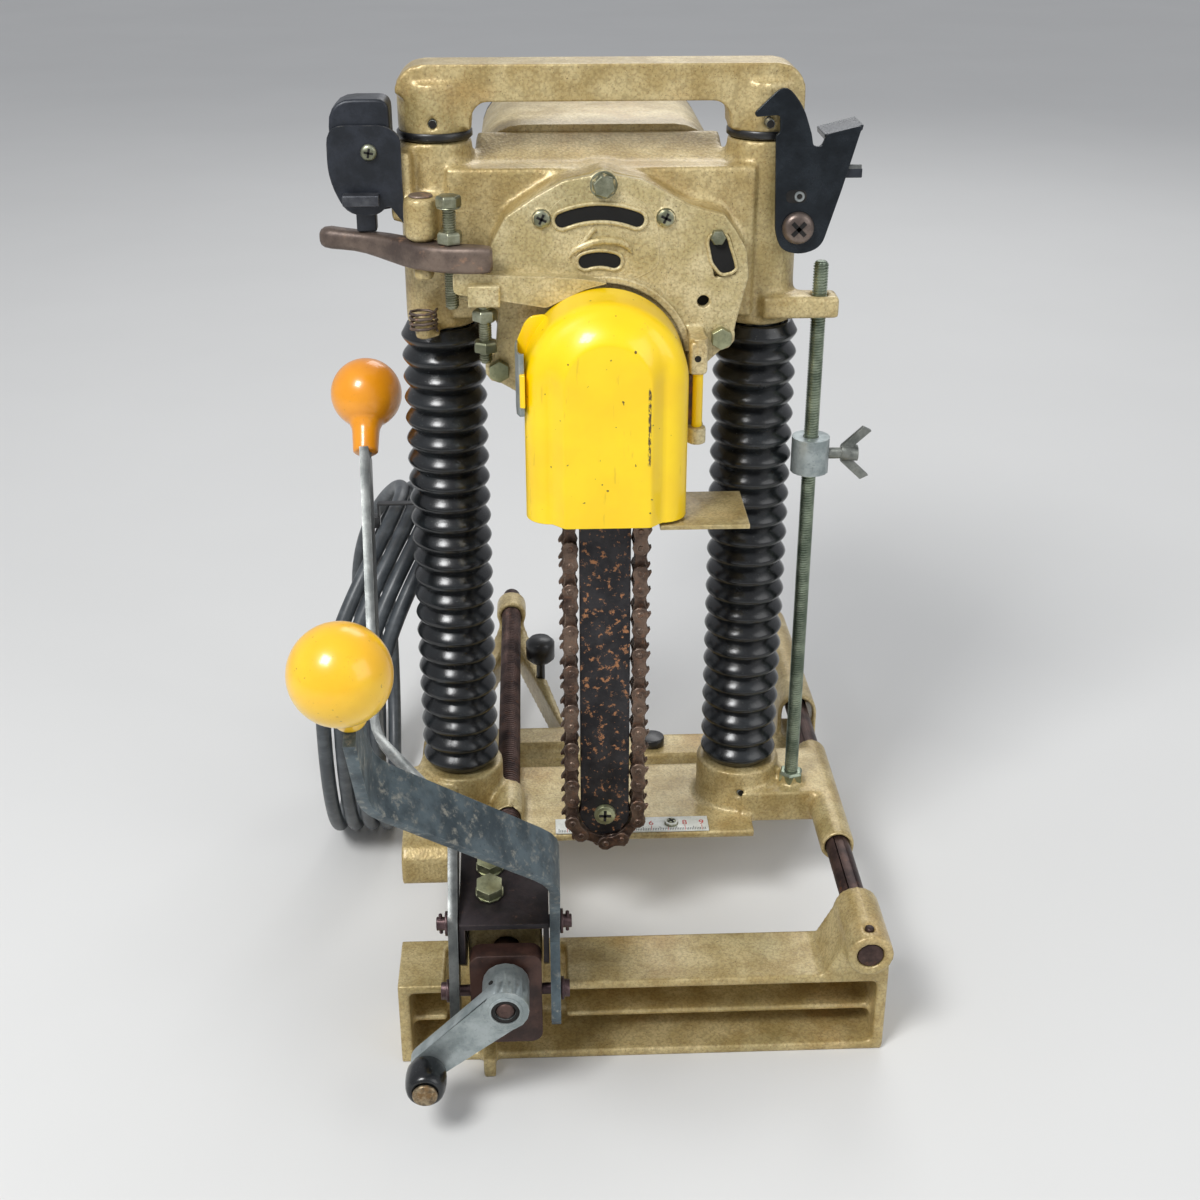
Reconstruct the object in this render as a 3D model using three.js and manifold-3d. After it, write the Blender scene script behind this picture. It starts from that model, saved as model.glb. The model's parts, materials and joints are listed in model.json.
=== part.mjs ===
// Chain mortiser: a two-column plunge head with a mortising chain, on a carriage and screw clamp.
// Millimetres. X runs to the machine's right, Y away from the operator, Z up.
// The origin is the middle of the front jaw's foot, on the mid-plane between the columns.
// Inside the machine group Y is counted from the plane of the two columns.
import * as THREE from 'three';
import { mergeVertices } from 'three/addons/utils/BufferGeometryUtils.js';
import Module from 'manifold-3d';

const wasm = await Module();
wasm.setup();

// Fits and facets
const GAP = 0.3;
const RUN = 0.35;
const CUT = 2;
const FINE = 20;
const ROUND = 16;
const SMALL = 10;
const TINY = 8;
const HEX = 6;
const TURN = 2 * Math.PI;

// Columns, rods and the screw that line the whole machine up
const COLUMN = { x: 84, radius: 12.5, foot: 64, top: 485 };
const ROD = { x: 135, z: 70, radius: 7, front: -171, back: 224 };
const SCREW = { x: -56, z: 70, radius: 7, back: 272, neck: 5, front: -206.5, shoulder: -169.6 };

// Front jaw, an open channel that stands on the bench
const JAW = {
  left: -114, right: 148, front: -163, back: -123, height: 51,
  wall: 6, flange: 5, ribBase: 18, rib: 3.5, ribSet: 12,
  bossRadius: 12.5, bossFront: -172, bossBack: -126,
  notchLeft: -89, notchRight: -25, footWidth: 6.5, footReach: 14, footHeight: 12, footSide: -69.5,
};
const PAD = { left: -76, right: -37, front: -157, base: 30 };

// Clamp bracket, its bolts and the lever pivot
const PIVOT = { y: -163, z: 92, radius: 3.5, washer: 6.4, cotter: 1.1 };
const BRACKET = {
  plate: 3, cheek: 3, front: -172, back: -120, topFront: 97, slopeRise: 12,
  cheekGap: 0.6, cheekFoot: 62, cheekFront: -174,
};
const BRACKET_BOLT = { x: -64, gap: 17, front: -151, radius: 3, across: 13, head: 5.5, grip: 14, washer: 1.4, washerRadius: 7.6 };
const PIN = { drop: 34, lead: 12, radius: 3, washerRadius: 6, washer: 1.6, end: 4.5 };
const BLOCK = { front: -181, back: -170, foot: 28, top: 84, side: 18.5, slotDrop: 1.2, slotRise: 3.5, slotPlay: 0.5, corner: 6 };

// Clamp lever pair, one strap in front and one bar behind, each with a ball
const ARM = { thick: 5, width: 25, tail: 9, tailWidth: 20, play: 0.5 };
const STRAP = { lean: 33.5, bendLow: 84, bendHigh: 176, outer: -110, ball: 276, bend: 12 };
const BAR = { lean: 42, bendLow: 56, bendHigh: 98, middle: -123, outer: -131, width: 22, ball: 297, bend: 9 };
const BALL = { radius: 20, neck: 8, neckTip: 7, neckLength: 36, stud: 3.4, studLength: 14 };

// Crank and its spinning knob
const CRANK = { hub: 12, hubFront: -207, hubBack: -184, throw: 54, angle: 221, tip: 8.5, armFront: -206, armBack: -198 };
const KNOB = { radius: 10.4, front: -225, pin: 4, disc: 6.2, discThick: 2, bevel: 3 };

// Rear jaw with its nut frame and the hooded tube on the guide rod
const REAR = {
  front: 66, back: 94, wall: 6, flange: 5, nutFront: 236, nutBack: 258, nutRadius: 11,
  frameBase: 36, frameTop: 58, frameHalf: 42, frameTip: 9, frameBar: 8,
  hoodFront: 84, hoodBack: 112, tubeBack: 222, tubeTip: 11, hood: 13, hollow: 10, hollowBack: 160,
};
const LOCK_KNOB = { x: -35, y: 165, stud: 3, studTop: 70, radius: 10, height: 18, seat: 10 };
const PLUG_PAD = { x: 38, y: 80, radius: 8, height: 6 };

// Carriage casting
const CARRIAGE = {
  sole: 60, deck: 5, front: -45, back: 33, right: 90, bossRadius: 25, bossTop: 92,
  tube: 10, tubeFront: -71, tubeBack: 35, webTop: 80, webFront: -28, webBack: 25,
  screwBoss: 9.8, screwBossFront: -27, screwBossBack: -4, screwNut: 7,
  blockLeft: -116, blockRight: -87, blockFront: -84, blockTop: 88,
};
const COLUMN_PIN = { z: 78, radius: 2.5, reach: 24 };
const RULER = { left: -28, right: 63, front: -44.5, back: -30, thick: 1, leftInset: 11, rightInset: 22 };
const RULER_SCREW = { radius: 1.8, head: 4, headHeight: 2, length: 4 };

// Bellows and the return springs inside them
const BELLOWS = { ribs: 23, crest: 22.5, root: 18.8, bore: 17, top: 364.6, sides: 8, boreEvery: 5 };
const SPRING = { wire: 0.9, radius: 14.4, curls: 7 };

// Head casting
const HEAD = {
  bottom: 365, bossRadius: 19, bossTop: 461, half: 78, front: -22, back: 24, bodyBottom: 372, bodyTop: 449,
  ridgeFront: -5, ridgeTop: 460, ridgeHalf: 64, caseFront: -38, cavityFront: -38, cavityBack: 2, wall: 4,
};
const SHAFT = { z: 366, radius: 6, front: -71, back: -4 };
const MOTOR = {
  z: 412.5, half: 64, rise: 50, front: 24.3, back: 146, wall: 3, corner: 24, shaft: 5, shaftFront: -31, shaftBack: 138,
  core: 24, coreFront: 52, coreBack: 100, fan: 36, fanFront: 28, fanBack: 40, commutator: 14, commFront: 108, commBack: 124,
  stator: 40, statorBore: 26, capThick: 8, vents: 5, vent: 4, ventLength: 44, ventPitch: 10,
};
const GEAR = { module: 3, big: 23, small: 8, front: -31, back: -21, backlash: 0.08, tipShare: 0.8, rootShare: 1.2 };

// Gear-case cover plate and what is on it
const COVER_PLATE = { half: 73.4, rise: 84, front: -44, boss: 7.5 };
const COVER_RIGHT_SHARES = [
  [0.06, 1], [0.27, 0.965], [0.45, 0.88], [0.6, 0.81], [0.82, 0.76], [0.9, 0.667], [0.98, 0.55], [1, 0.39],
  [0.93, 0.13], [0.9, 0], [0.7, -0.17], [0.53, -0.36], [0.3, -0.5], [0, -0.55],
];
const COVER_LEFT_SHARES = [
  [-0.3, -0.5], [-0.53, -0.36], [-0.72, -0.26], [-0.76, -0.1], [-0.72, 0.2], [-1.03, 0.28], [-1.03, 0.39],
  [-0.8, 0.44], [-0.76, 0.6], [-0.66, 0.76], [-0.45, 0.88], [-0.27, 0.965], [-0.06, 1],
];
const HEX_BOLT = { radius: 3, across: 10, head: 5, length: 16 };
const HEX_BOLT_SHARES = { right: [0.82, 0.02], left: [-0.73, -0.17] };
const TOP_BOLT_SHARE = [0, 0.94];
const PAN_SCREW = { radius: 2, head: 4.6, headHeight: 2.6, length: 14 };
const PAN_SCREW_PLACE_SHARES = [[0.42, 0.75], [-0.42, 0.75]];
const VENT_ARC = { centre: 395, wide: 34, narrow: 12, widthWide: 5.5, widthNarrow: 4.2, spread: 84 };
const VENT_SLOT = { x: 59.5, z: 409, half: 5.5, length: 20, lean: 12, depth: 16 };
const OIL_HOLE = { x: 50.7, z: 386, radius: 3.3 };

// Chain, bar and sprockets
const CHAIN = {
  y: -62, links: 54, path: 18.7, nose: 94.5, inner: 5, outer: 8, band: 3.4, linkLength: 17.5, linkHigh: 3.6,
};
const CHAIN_BAR = { half: 13.6, core: 3.4, cheek: 2, cheekRadius: 14.2, top: 346 };
const ROLLER = { radius: 14.6, half: 3.1 };
const NOSE_SCREW = { radius: 3, head: 6, headHeight: 2.6, nut: 10 };
const SPROCKET = { radius: 14.6, half: 3.4 };

// Chain cover with its hinge, catch and the chip deflector
const COVER = {
  half: 41, centre: 355, front: -90, back: -52, bottom: 284, wall: 1.8, panelHalf: 21.5, panelFront: -96.5, panelTop: 380,
};
const COVER_EAR_SHARES = [
  [-0.693, 0.693], [-0.888, 0.415], [-0.976, 0.085], [-1.007, 0.05], [-1.063, 0.195], [-1.112, 0.28], [-1.073, 0.415],
  [-0.98, 0.629], [-0.902, 0.705], [-0.741, 0.724],
];
const HINGE = { x: 47, y: -62, radius: 4, pin: 1.8, low: 326, high: 364, lug: 5, lugHeight: 9, strap: 2.4 };
const CATCH = { low: 342, high: 370, front: -84, back: -60, thick: 2 };
const DEFLECTOR = { z: 280, thick: 2.4, left: 27, right: 73, front: -90, legFront: -47.4, legTop: 352, legRight: 42.6 };
const DEFLECTOR_SCREW = { x: 34, z: 345, radius: 2, head: 3.6, headHeight: 2.2, length: 9 };

// Stop lever, its adjusting bolt and the stud below
const STOP = { x: -90, y: -42, ear: 9, earLow: 419, earHigh: 440, low: 405, high: 418.6, pin: 4, pinFoot: 401, tipX: -139, endX: -55, half: 8 };
const STOP_OUTLINE_SHARES = [
  [0, 2.75], [0.024, 2.06], [0.155, 1.88], [0.27, 1.56], [0.39, 0.75], [0.49, -0.38], [0.6, -1.3], [0.75, -2.06],
  [0.95, -2.3], [1, -1.7], [0.93, -0.5], [0.62, 0.95], [0.5, 1.5], [0.4, 2.2], [0.32, 2.88], [0.21, 3.38], [0.036, 3.44],
];
const STOP_BOLT = { x: -76, y: -50.5, radius: 3.4, low: 386, headBase: 437, head: 5, across: 11, nut: 5.5 };
const STOP_SPRING = { x: -92, y: -33, radius: 7, wire: 0.8, curls: 4, low: 369, pitch: 2.6, post: 5 };
const STUD = { x: -60, y: -52, radius: 3.2, low: 358, lugLow: 388, lugHigh: 399, lugHalf: 8, across: 11, nut: 5.5, upper: 380, lower: 364 };

// Switch box on the left
const SWITCH = {
  left: -135.5, right: -106.4, front: -30, back: -7, low: 432, high: 471, skin: 1.6, bodyInset: 2, rear: 484,
  sheetRight: -99.4, sheetLow: 423, sheetHigh: 467, sheetHem: 437,
  padLeft: -106, padRight: -95, padFront: -28, padLow: 424, padHigh: 458,
};
const TRIGGER = { x: -118.6, half: 5, thick: 8, low: 419.2, travel: 5, stem: 10 };
const SWITCH_SCREW = { z: 459, radius: 2, head: 3.8, headHeight: 2.2, length: 8, xShare: 0.7 };

// Top handle, its pins and bump rings
const HANDLE = { half: 102.5, legRadius: 18.5, overlap: 19.5, rise: 13, grip: 18, depth: 14, gripHalf: 65, corner: 14, inner: 9 };
const HANDLE_BASE = COLUMN.top - HANDLE.overlap;
const HANDLE_TOP = COLUMN.top + HANDLE.rise;
const HANDLE_PIN = { drop: 15, radius: 2.4, back: 17, front: -17, hookFront: -23.4 };
const HANDLE_PIN_HEIGHT = COLUMN.top - HANDLE_PIN.drop;
const BUMPER = { radius: 17.6, height: 4.2 };

// Latch hook that holds the head up to the handle
const HOOK = { x: 99.8, z: 419, front: -26.4, thick: 2.6, ear: 9, scale: 61, flange: 20, flangeThick: 2.4 };
const HOOK_OUTLINE_SHARES = [
  [-0.19, -0.02], [-0.1, -0.17], [0.03, -0.225], [0.18, -0.17], [0.35, 0.31], [0.49, 0.83], [0.11, 0.74],
  [0, 0.98], [-0.155, 1.17], [-0.4, 0.935], [-0.385, 0.9], [-0.19, 0.915], [-0.185, 0.78], [-0.22, 0.75],
];
const HOOK_SCREW = { radius: 4, head: 7.8, headHeight: 3.4, length: 18 };

// Depth rod, its nut on the carriage, its collar and its wing screw
const DEPTH = { x: 115, y: -15, radius: 4, foot: 66, top: 399, nutAcross: 13, nut: 8, earLow: 370, earHigh: 382, earRight: 124.5, earHalf: 9 };
const COLLAR = { low: 282, high: 302, radius: 10.5 };
const WING = { radius: 3.2, inner: 119.6, neck: 132, hub: 4.6, tip: 148, span: 13, thick: 3 };

// Mains lead: its strain relief, free stretch, standing hank, tail and plug
const CORD = { radius: 4.5, sides: 8, leadSteps: 24 };
const HANK = { turns: 3.5, steps: 24, sides: 6, pitch: 10.4, right: -131.5, y: 85, halfDepth: 88, halfHeight: 113, lean: 44 };
const GLAND = { x: -45, z: 384, flange: 9, flangeThick: 4, length: 26, tip: 5.4 };
// The free stretch that hangs from the strain relief behind the motor and comes forward on to the hank
const LEAD_ROUTE = [
  [-45, 185.3, 384], [-45.8, 206.1, 381.1], [-48.1, 224.5, 372.6], [-51.8, 239.4, 359.1], [-56.6, 249.4, 341.7],
  [-61.9, 253.5, 322.3], [-67.3, 251.2, 302.4], [-72.3, 242.9, 284.3], [-76.7, 229.6, 268.7], [-80, 213.5, 256.6],
  [-82.6, 195.1, 247.3], [-84.5, 175.6, 240.5], [-85.9, 155.3, 235.7], [-86.8, 135.1, 232.7], [-87.3, 114.6, 231],
  [-87.5, 94.4, 230.5],
];
const PLUG = { radius: 17, length: 42, grip: 9, pin: 2.4, pinLength: 19, pinGap: 9.5 };
const TAIL = { length: 64 };
const TIE = { width: 4.6, thick: 1.3, head: 7, turn: 0.05 };

// Materials
const LOOKS = {
  goldPaint: { color: 0xb09a5c, roughness: 0.45, metalness: 0.35 },
  yellow: { color: 0xf2cc05, roughness: 0.3, metalness: 0 },
  ball: { color: 0xe8a51e, roughness: 0.25, metalness: 0 },
  rubber: { color: 0x16181a, roughness: 0.4, metalness: 0 },
  black: { color: 0x1d2024, roughness: 0.5, metalness: 0.3 },
  rust: { color: 0x5b4138, roughness: 0.8, metalness: 0.4 },
  brown: { color: 0x3c2320, roughness: 0.6, metalness: 0.3 },
  steel: { color: 0x8f9494, roughness: 0.35, metalness: 0.9 },
  zinc: { color: 0xa3a585, roughness: 0.4, metalness: 0.8 },
  darkSteel: { color: 0x4b4240, roughness: 0.55, metalness: 0.8 },
  copper: { color: 0xa86a3c, roughness: 0.4, metalness: 0.8 },
  white: { color: 0xe6e6e2, roughness: 0.5, metalness: 0 },
  cord: { color: 0x3b4043, roughness: 0.5, metalness: 0 },
};

// Scene groups: everything in the machine group counts Y from the column plane
const model = new THREE.Group();
const machine = new THREE.Group();
machine.position.y = -(JAW.front + JAW.back) / 2;
model.add(machine);

// Local axes of a section: a shape's two directions and its extrusion
const FRAMES = {
  x: new THREE.Matrix4().makeBasis(vector(0, 1, 0), vector(0, 0, 1), vector(1, 0, 0)),
  y: new THREE.Matrix4().makeBasis(vector(1, 0, 0), vector(0, 0, 1), vector(0, -1, 0)),
  z: new THREE.Matrix4(),
};

function vector(x, y, z) {
  return new THREE.Vector3(x, y, z);
}

// A closed geometry as a solid, its shared vertices merged and its faces pointing out
function solidOf(geometry) {
  const bare = new THREE.BufferGeometry();
  bare.setAttribute('position', geometry.getAttribute('position').clone());
  if (geometry.index) {
    bare.setIndex(geometry.index.clone());
  }
  const merged = mergeVertices(bare);
  const place = merged.getAttribute('position');
  const corners = merged.index.array;
  const kept = [];
  let volume = 0;
  for (let i = 0; i < corners.length; i += 3) {
    const [a, b, c] = [corners[i], corners[i + 1], corners[i + 2]];
    if (a !== b && b !== c && c !== a) {
      kept.push(a, b, c);
      const p = vector(0, 0, 0).fromBufferAttribute(place, a);
      const q = vector(0, 0, 0).fromBufferAttribute(place, b);
      const r = vector(0, 0, 0).fromBufferAttribute(place, c);
      volume += p.dot(q.cross(r));
    }
  }
  if (volume < 0) {
    kept.reverse();
  }
  const mesh = new wasm.Mesh({
    numProp: 3,
    vertProperties: new Float32Array(place.array),
    triVerts: new Uint32Array(kept),
  });
  return new wasm.Manifold(mesh);
}

function geometryOf(solid) {
  const found = solid.getMesh();
  const geometry = new THREE.BufferGeometry();
  geometry.setAttribute('position', new THREE.BufferAttribute(found.vertProperties, 3));
  geometry.setIndex(new THREE.BufferAttribute(found.triVerts, 1));
  geometry.computeVertexNormals();
  return geometry;
}

function join(...solids) {
  return solids.reduce((whole, next) => whole.add(next));
}

function cut(solid, ...tools) {
  return solid.subtract(join(...tools));
}

// A box between pairs of low and high places
function box(x, y, z) {
  const geometry = new THREE.BoxGeometry(x[1] - x[0], y[1] - y[0], z[1] - z[0]);
  geometry.translate((x[0] + x[1]) / 2, (y[0] + y[1]) / 2, (z[0] + z[1]) / 2);
  return solidOf(geometry);
}

// Moves a geometry made along local Z so that it spans from..to on an axis, centred at two other places
function along(geometry, axis, from, to, at = [0, 0]) {
  const [u, v] = at;
  geometry.translate(u, v, axis === 'y' ? -to : from);
  geometry.applyMatrix4(FRAMES[axis]);
  return geometry;
}

// A round or six-sided bar, or a cone with its own radius at the far end
function bar(axis, from, to, at, radius, sides = ROUND, farRadius = radius) {
  const [near, far] = axis === 'y' ? [farRadius, radius] : [radius, farRadius];
  const geometry = new THREE.CylinderGeometry(far, near, to - from, sides);
  geometry.rotateX(TURN / 4);
  geometry.translate(0, 0, (to - from) / 2);
  return solidOf(along(geometry, axis, from, to, at));
}

// A flat outline, given as points or as a Shape, pushed from one place to another along an axis
function prism(axis, from, to, outline, curveSteps = 5) {
  const shape = outline instanceof THREE.Shape ? outline : new THREE.Shape(outline.map(([u, v]) => new THREE.Vector2(u, v)));
  const options = { depth: to - from, bevelEnabled: false, curveSegments: curveSteps };
  return solidOf(along(new THREE.ExtrudeGeometry(shape, options), axis, from, to));
}

// A turned solid: pairs of radius and place along the axis
function turned(axis, at, profile, sides = ROUND) {
  const flip = axis === 'y' ? -1 : 1;
  const points = profile.map(([radius, place]) => new THREE.Vector2(radius, flip * place));
  const geometry = new THREE.LatheGeometry(points, sides);
  geometry.rotateX(TURN / 4);
  geometry.rotateZ(TURN / 4);
  return solidOf(along(geometry, axis, 0, 0, at));
}

function ring(axis, from, to, at, radius, bore, sides = ROUND) {
  return cut(bar(axis, from, to, at, radius, sides), bar(axis, from - CUT, to + CUT, at, bore, sides));
}

function roundedShape(left, right, low, high, radius) {
  const shape = new THREE.Shape();
  shape.absarc(right - radius, high - radius, radius, 0, TURN / 4);
  shape.absarc(left + radius, high - radius, radius, TURN / 4, TURN / 2);
  shape.absarc(left + radius, low + radius, radius, TURN / 2, TURN * 3 / 4);
  shape.absarc(right - radius, low + radius, radius, TURN * 3 / 4, TURN);
  return shape;
}

// A slot with round ends along an arc
function arcSlot(axis, from, to, centre, radius, half, spread) {
  const middle = TURN / 4;
  const reach = THREE.MathUtils.degToRad(spread) / 2;
  const shape = new THREE.Shape();
  shape.absarc(centre[0], centre[1], radius + half, middle - reach, middle + reach);
  shape.absarc(centre[0], centre[1], radius - half, middle + reach, middle - reach, true);
  return prism(axis, from, to, shape, 4);
}

// A round tube of few sides along a curve
function tube(curve, radius, sides, steps) {
  const section = new THREE.Shape();
  for (let i = 0; i < sides; i += 1) {
    const angle = TURN * i / sides;
    const [u, v] = [radius * Math.cos(angle), radius * Math.sin(angle)];
    if (i === 0) {
      section.moveTo(u, v);
    } else {
      section.lineTo(u, v);
    }
  }
  return new THREE.ExtrudeGeometry(section, { steps, extrudePath: curve, bevelEnabled: false });
}

// A helix round Z whose ends run straight for one wire diameter
class Coil extends THREE.Curve {
  constructor({ x, y, radius, low, pitch, curls, wire }) {
    super();
    this.size = { x, y, radius, low, pitch, curls, lead: 2 * wire };
    this.bend = TURN * radius * curls;
    this.whole = this.bend + 2 * this.size.lead;
  }

  getPoint(t, target = new THREE.Vector3()) {
    const { x, y, radius, low, pitch, curls, lead } = this.size;
    const run = t * this.whole - lead;
    const share = THREE.MathUtils.clamp(run / this.bend, 0, 1);
    const angle = TURN * curls * share;
    const extra = run - share * this.bend;
    target.set(x + radius * Math.cos(angle), y + radius * Math.sin(angle), low + pitch * curls * share);
    return target.add(vector(-Math.sin(angle), Math.cos(angle), 0).multiplyScalar(extra));
  }
}

function place(group, name, look, solid) {
  const geometry = solid.isBufferGeometry ? solid : geometryOf(solid);
  const mesh = new THREE.Mesh(geometry, new THREE.MeshStandardMaterial(LOOKS[look]));
  mesh.name = name;
  group.add(mesh);
  return mesh;
}

function degrees(angle) {
  return THREE.MathUtils.degToRad(angle);
}

// Base: front jaw and guide rod
function padTop(y) {
  const slope = BRACKET.slopeRise / (BRACKET.back - BRACKET.front);
  return BRACKET.topFront + slope * (y - BRACKET.front) - BRACKET.plate - GAP;
}

function bracketBolts(radius, extra) {
  const slope = Math.atan2(BRACKET.slopeRise, BRACKET.back - BRACKET.front);
  return [0, 1].map((i) => {
    const y = BRACKET_BOLT.front + i * BRACKET_BOLT.gap;
    const z = padTop(y) + BRACKET.plate + GAP;
    return extra(radius, [BRACKET_BOLT.x, y, z], slope);
  });
}

// A bar along the slope's normal, from below to above a point on the bracket's top plate
function slopedBar(radius, below, above, [x, y, z], slope, sides) {
  const geometry = new THREE.CylinderGeometry(radius, radius, above - below, sides);
  geometry.rotateX(TURN / 4);
  geometry.translate(0, 0, (above + below) / 2);
  geometry.rotateX(slope);
  geometry.translate(x, y, z);
  return solidOf(geometry);
}

function boltHoles() {
  return bracketBolts(BRACKET_BOLT.radius + GAP, (radius, at, slope) => {
    return slopedBar(radius, -BRACKET_BOLT.grip - GAP, CUT + BRACKET.plate, at, slope, TINY);
  });
}

function frontJaw() {
  const inside = JAW.back - JAW.wall;
  const shell = cut(
    box([JAW.left, JAW.right], [JAW.front, JAW.back], [0, JAW.height]),
    box([JAW.left + JAW.wall, JAW.right - JAW.wall], [JAW.front - CUT, inside], [JAW.flange, JAW.height - JAW.flange]),
  );
  const rib = box([JAW.left + GAP, JAW.right - GAP], [JAW.front + JAW.ribSet, JAW.back - GAP], [JAW.ribBase, JAW.ribBase + JAW.rib]);
  const notch = box([JAW.notchLeft, JAW.notchRight], [JAW.front - CUT, inside], [JAW.flange, JAW.height + CUT]);
  const pad = prism('x', PAD.left, PAD.right, [
    [PAD.front, PAD.base], [JAW.back, PAD.base], [JAW.back, padTop(JAW.back)], [PAD.front, padTop(PAD.front)],
  ]);
  const boss = bar('y', JAW.bossFront, JAW.bossBack, [ROD.x, ROD.z], JAW.bossRadius, ROUND);
  const shoulder = prism('y', JAW.front, JAW.bossBack, [
    [ROD.x - 2 * JAW.bossRadius, JAW.height - JAW.flange], [JAW.right, JAW.height - JAW.flange],
    [ROD.x + JAW.bossRadius, ROD.z], [ROD.x - JAW.bossRadius, ROD.z],
  ]);
  const foot = box(
    [JAW.footSide, JAW.footSide + JAW.footWidth],
    [JAW.front - JAW.footReach, JAW.front + JAW.wall],
    [0, JAW.footHeight],
  );
  const body = join(cut(join(shell, rib), notch), pad, boss, shoulder, foot);
  return cut(
    body,
    bar('y', JAW.bossFront - CUT, JAW.bossBack + CUT, [ROD.x, ROD.z], ROD.radius + GAP, ROUND),
    bar('y', PAD.front - CUT, JAW.back + CUT, [SCREW.x, SCREW.z], SCREW.radius + RUN, ROUND),
    bar('z', ROD.z, ROD.z + JAW.bossRadius + CUT, [ROD.x, JAW.front], COLUMN_PIN.radius + GAP, TINY),
    ...boltHoles(),
  );
}

function buildBase() {
  place(machine, 'front_jaw', 'goldPaint', frontJaw());
  place(machine, 'guide_rod', 'darkSteel', join(
    bar('y', ROD.front, ROD.back, [ROD.x, ROD.z], ROD.radius),
    bar('z', ROD.z, ROD.z + JAW.bossRadius + GAP, [ROD.x, JAW.front], COLUMN_PIN.radius, TINY),
  ));
}

// Clamp bracket: two cheeks and a sloping top plate over the jaw's pad
function cheekPlaces() {
  const left = PAD.left - BRACKET.cheekGap - BRACKET.cheek;
  const right = PAD.right + BRACKET.cheekGap;
  return { left, right };
}

function buildBracket() {
  const { left, right } = cheekPlaces();
  const plateLow = (y) => padTop(y) + GAP;
  const top = prism('x', left, right + BRACKET.cheek, [
    [BRACKET.front, plateLow(BRACKET.front)], [BRACKET.back, plateLow(BRACKET.back)],
    [BRACKET.back, plateLow(BRACKET.back) + BRACKET.plate], [BRACKET.front, plateLow(BRACKET.front) + BRACKET.plate],
  ]);
  const cheeks = [left, right].map((x) => prism('x', x, x + BRACKET.cheek, [
    [BRACKET.cheekFront, BRACKET.cheekFoot + BRACKET.slopeRise], [BRACKET.front + BRACKET.slopeRise, BRACKET.cheekFoot],
    [BRACKET.back, BRACKET.cheekFoot], [BRACKET.back, plateLow(BRACKET.back) + BRACKET.plate / 2],
    [BRACKET.front, plateLow(BRACKET.front) + BRACKET.plate / 2],
  ]));
  const pinHole = bar('x', left - CUT, right + BRACKET.cheek + CUT, [PIVOT.y, PIVOT.z], PIVOT.radius + GAP, SMALL);
  place(machine, 'clamp_bracket', 'black', cut(join(top, ...cheeks), pinHole, ...boltHoles()));

  const [front, rear] = bracketBolts(BRACKET_BOLT.radius, (radius, at, slope) => {
    const washerTop = GAP + BRACKET_BOLT.washer;
    return join(
      slopedBar(radius, -BRACKET_BOLT.grip, washerTop - GAP, at, slope, TINY),
      slopedBar(BRACKET_BOLT.washerRadius, GAP, washerTop, at, slope, SMALL),
      slopedBar(BRACKET_BOLT.across / Math.sqrt(3), washerTop - GAP, washerTop + BRACKET_BOLT.head, at, slope, HEX),
    );
  });
  place(machine, 'bracket_bolt_front', 'zinc', front);
  place(machine, 'bracket_bolt_rear', 'zinc', rear);

  const reach = ARM.play + ARM.thick + GAP;
  const from = left - reach;
  const to = right + BRACKET.cheek + reach;
  const at = [PIVOT.y, PIVOT.z];
  const out = PIN.washer + PIN.end;
  const washer = (x) => bar('x', x, x + PIN.washer, at, PIVOT.washer, SMALL);
  const cotter = (x) => bar('z', PIVOT.z - PIN.washerRadius, PIVOT.z + PIN.washerRadius, [x, PIVOT.y], PIVOT.cotter, HEX);
  place(machine, 'lever_pivot_pin', 'rust', join(
    bar('x', from - out, to + out, at, PIVOT.radius, SMALL),
    washer(from - PIN.washer), washer(to), cotter(from - out + PIN.end / 2), cotter(to + out - PIN.end / 2),
  ));
}

// Screw block, pulled by the lower pin of the lever pair
const LOW_PIN = { y: PIVOT.y - PIN.lead, z: PIVOT.z - PIN.drop };

function buildBlock() {
  const shape = roundedShape(SCREW.x - BLOCK.side, SCREW.x + BLOCK.side, BLOCK.foot, BLOCK.top, BLOCK.corner);
  const body = prism('y', BLOCK.front, BLOCK.back, shape, 3);
  const half = PIN.radius + BLOCK.slotPlay;
  const slot = box(
    [SCREW.x - BLOCK.side - CUT, SCREW.x + BLOCK.side + CUT],
    [LOW_PIN.y - half, LOW_PIN.y + half],
    [LOW_PIN.z - half - BLOCK.slotDrop, LOW_PIN.z + half + BLOCK.slotRise],
  );
  const bore = bar('y', BLOCK.front - CUT, BLOCK.back + CUT, [SCREW.x, SCREW.z], SCREW.neck + RUN);
  place(machine, 'screw_block', 'brown', cut(body, slot, bore));
}

// Levers: each is drawn in the plane of its run (X, distance from the pivot) and then leaned about the pivot
function leaned(geometry, lean) {
  geometry.rotateX(degrees(lean));
  geometry.translate(0, PIVOT.y, PIVOT.z);
  return solidOf(geometry);
}

// A flat bar of even thickness that follows a bent line, as an outline
function bentOutline(line, half, bend) {
  const shape = new THREE.Shape();
  const side = (sign, points) => points.map((point, i) => {
    const before = points[i - 1] ?? point;
    const after = points[i + 1] ?? point;
    const a = new THREE.Vector2().subVectors(point, before).normalize();
    const b = new THREE.Vector2().subVectors(after, point).normalize();
    const mean = new THREE.Vector2().addVectors(a, b).normalize();
    const stretch = half / Math.max(mean.dot(a.lengthSq() ? a : b), 0.5);
    return new THREE.Vector2(point.x - sign * mean.y * stretch, point.y + sign * mean.x * stretch);
  });
  const soft = softened(line.map(([x, s]) => new THREE.Vector2(x, s)), bend);
  const outline = [...side(1, soft), ...side(-1, soft).reverse()];
  shape.setFromPoints(outline);
  return shape;
}

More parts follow.
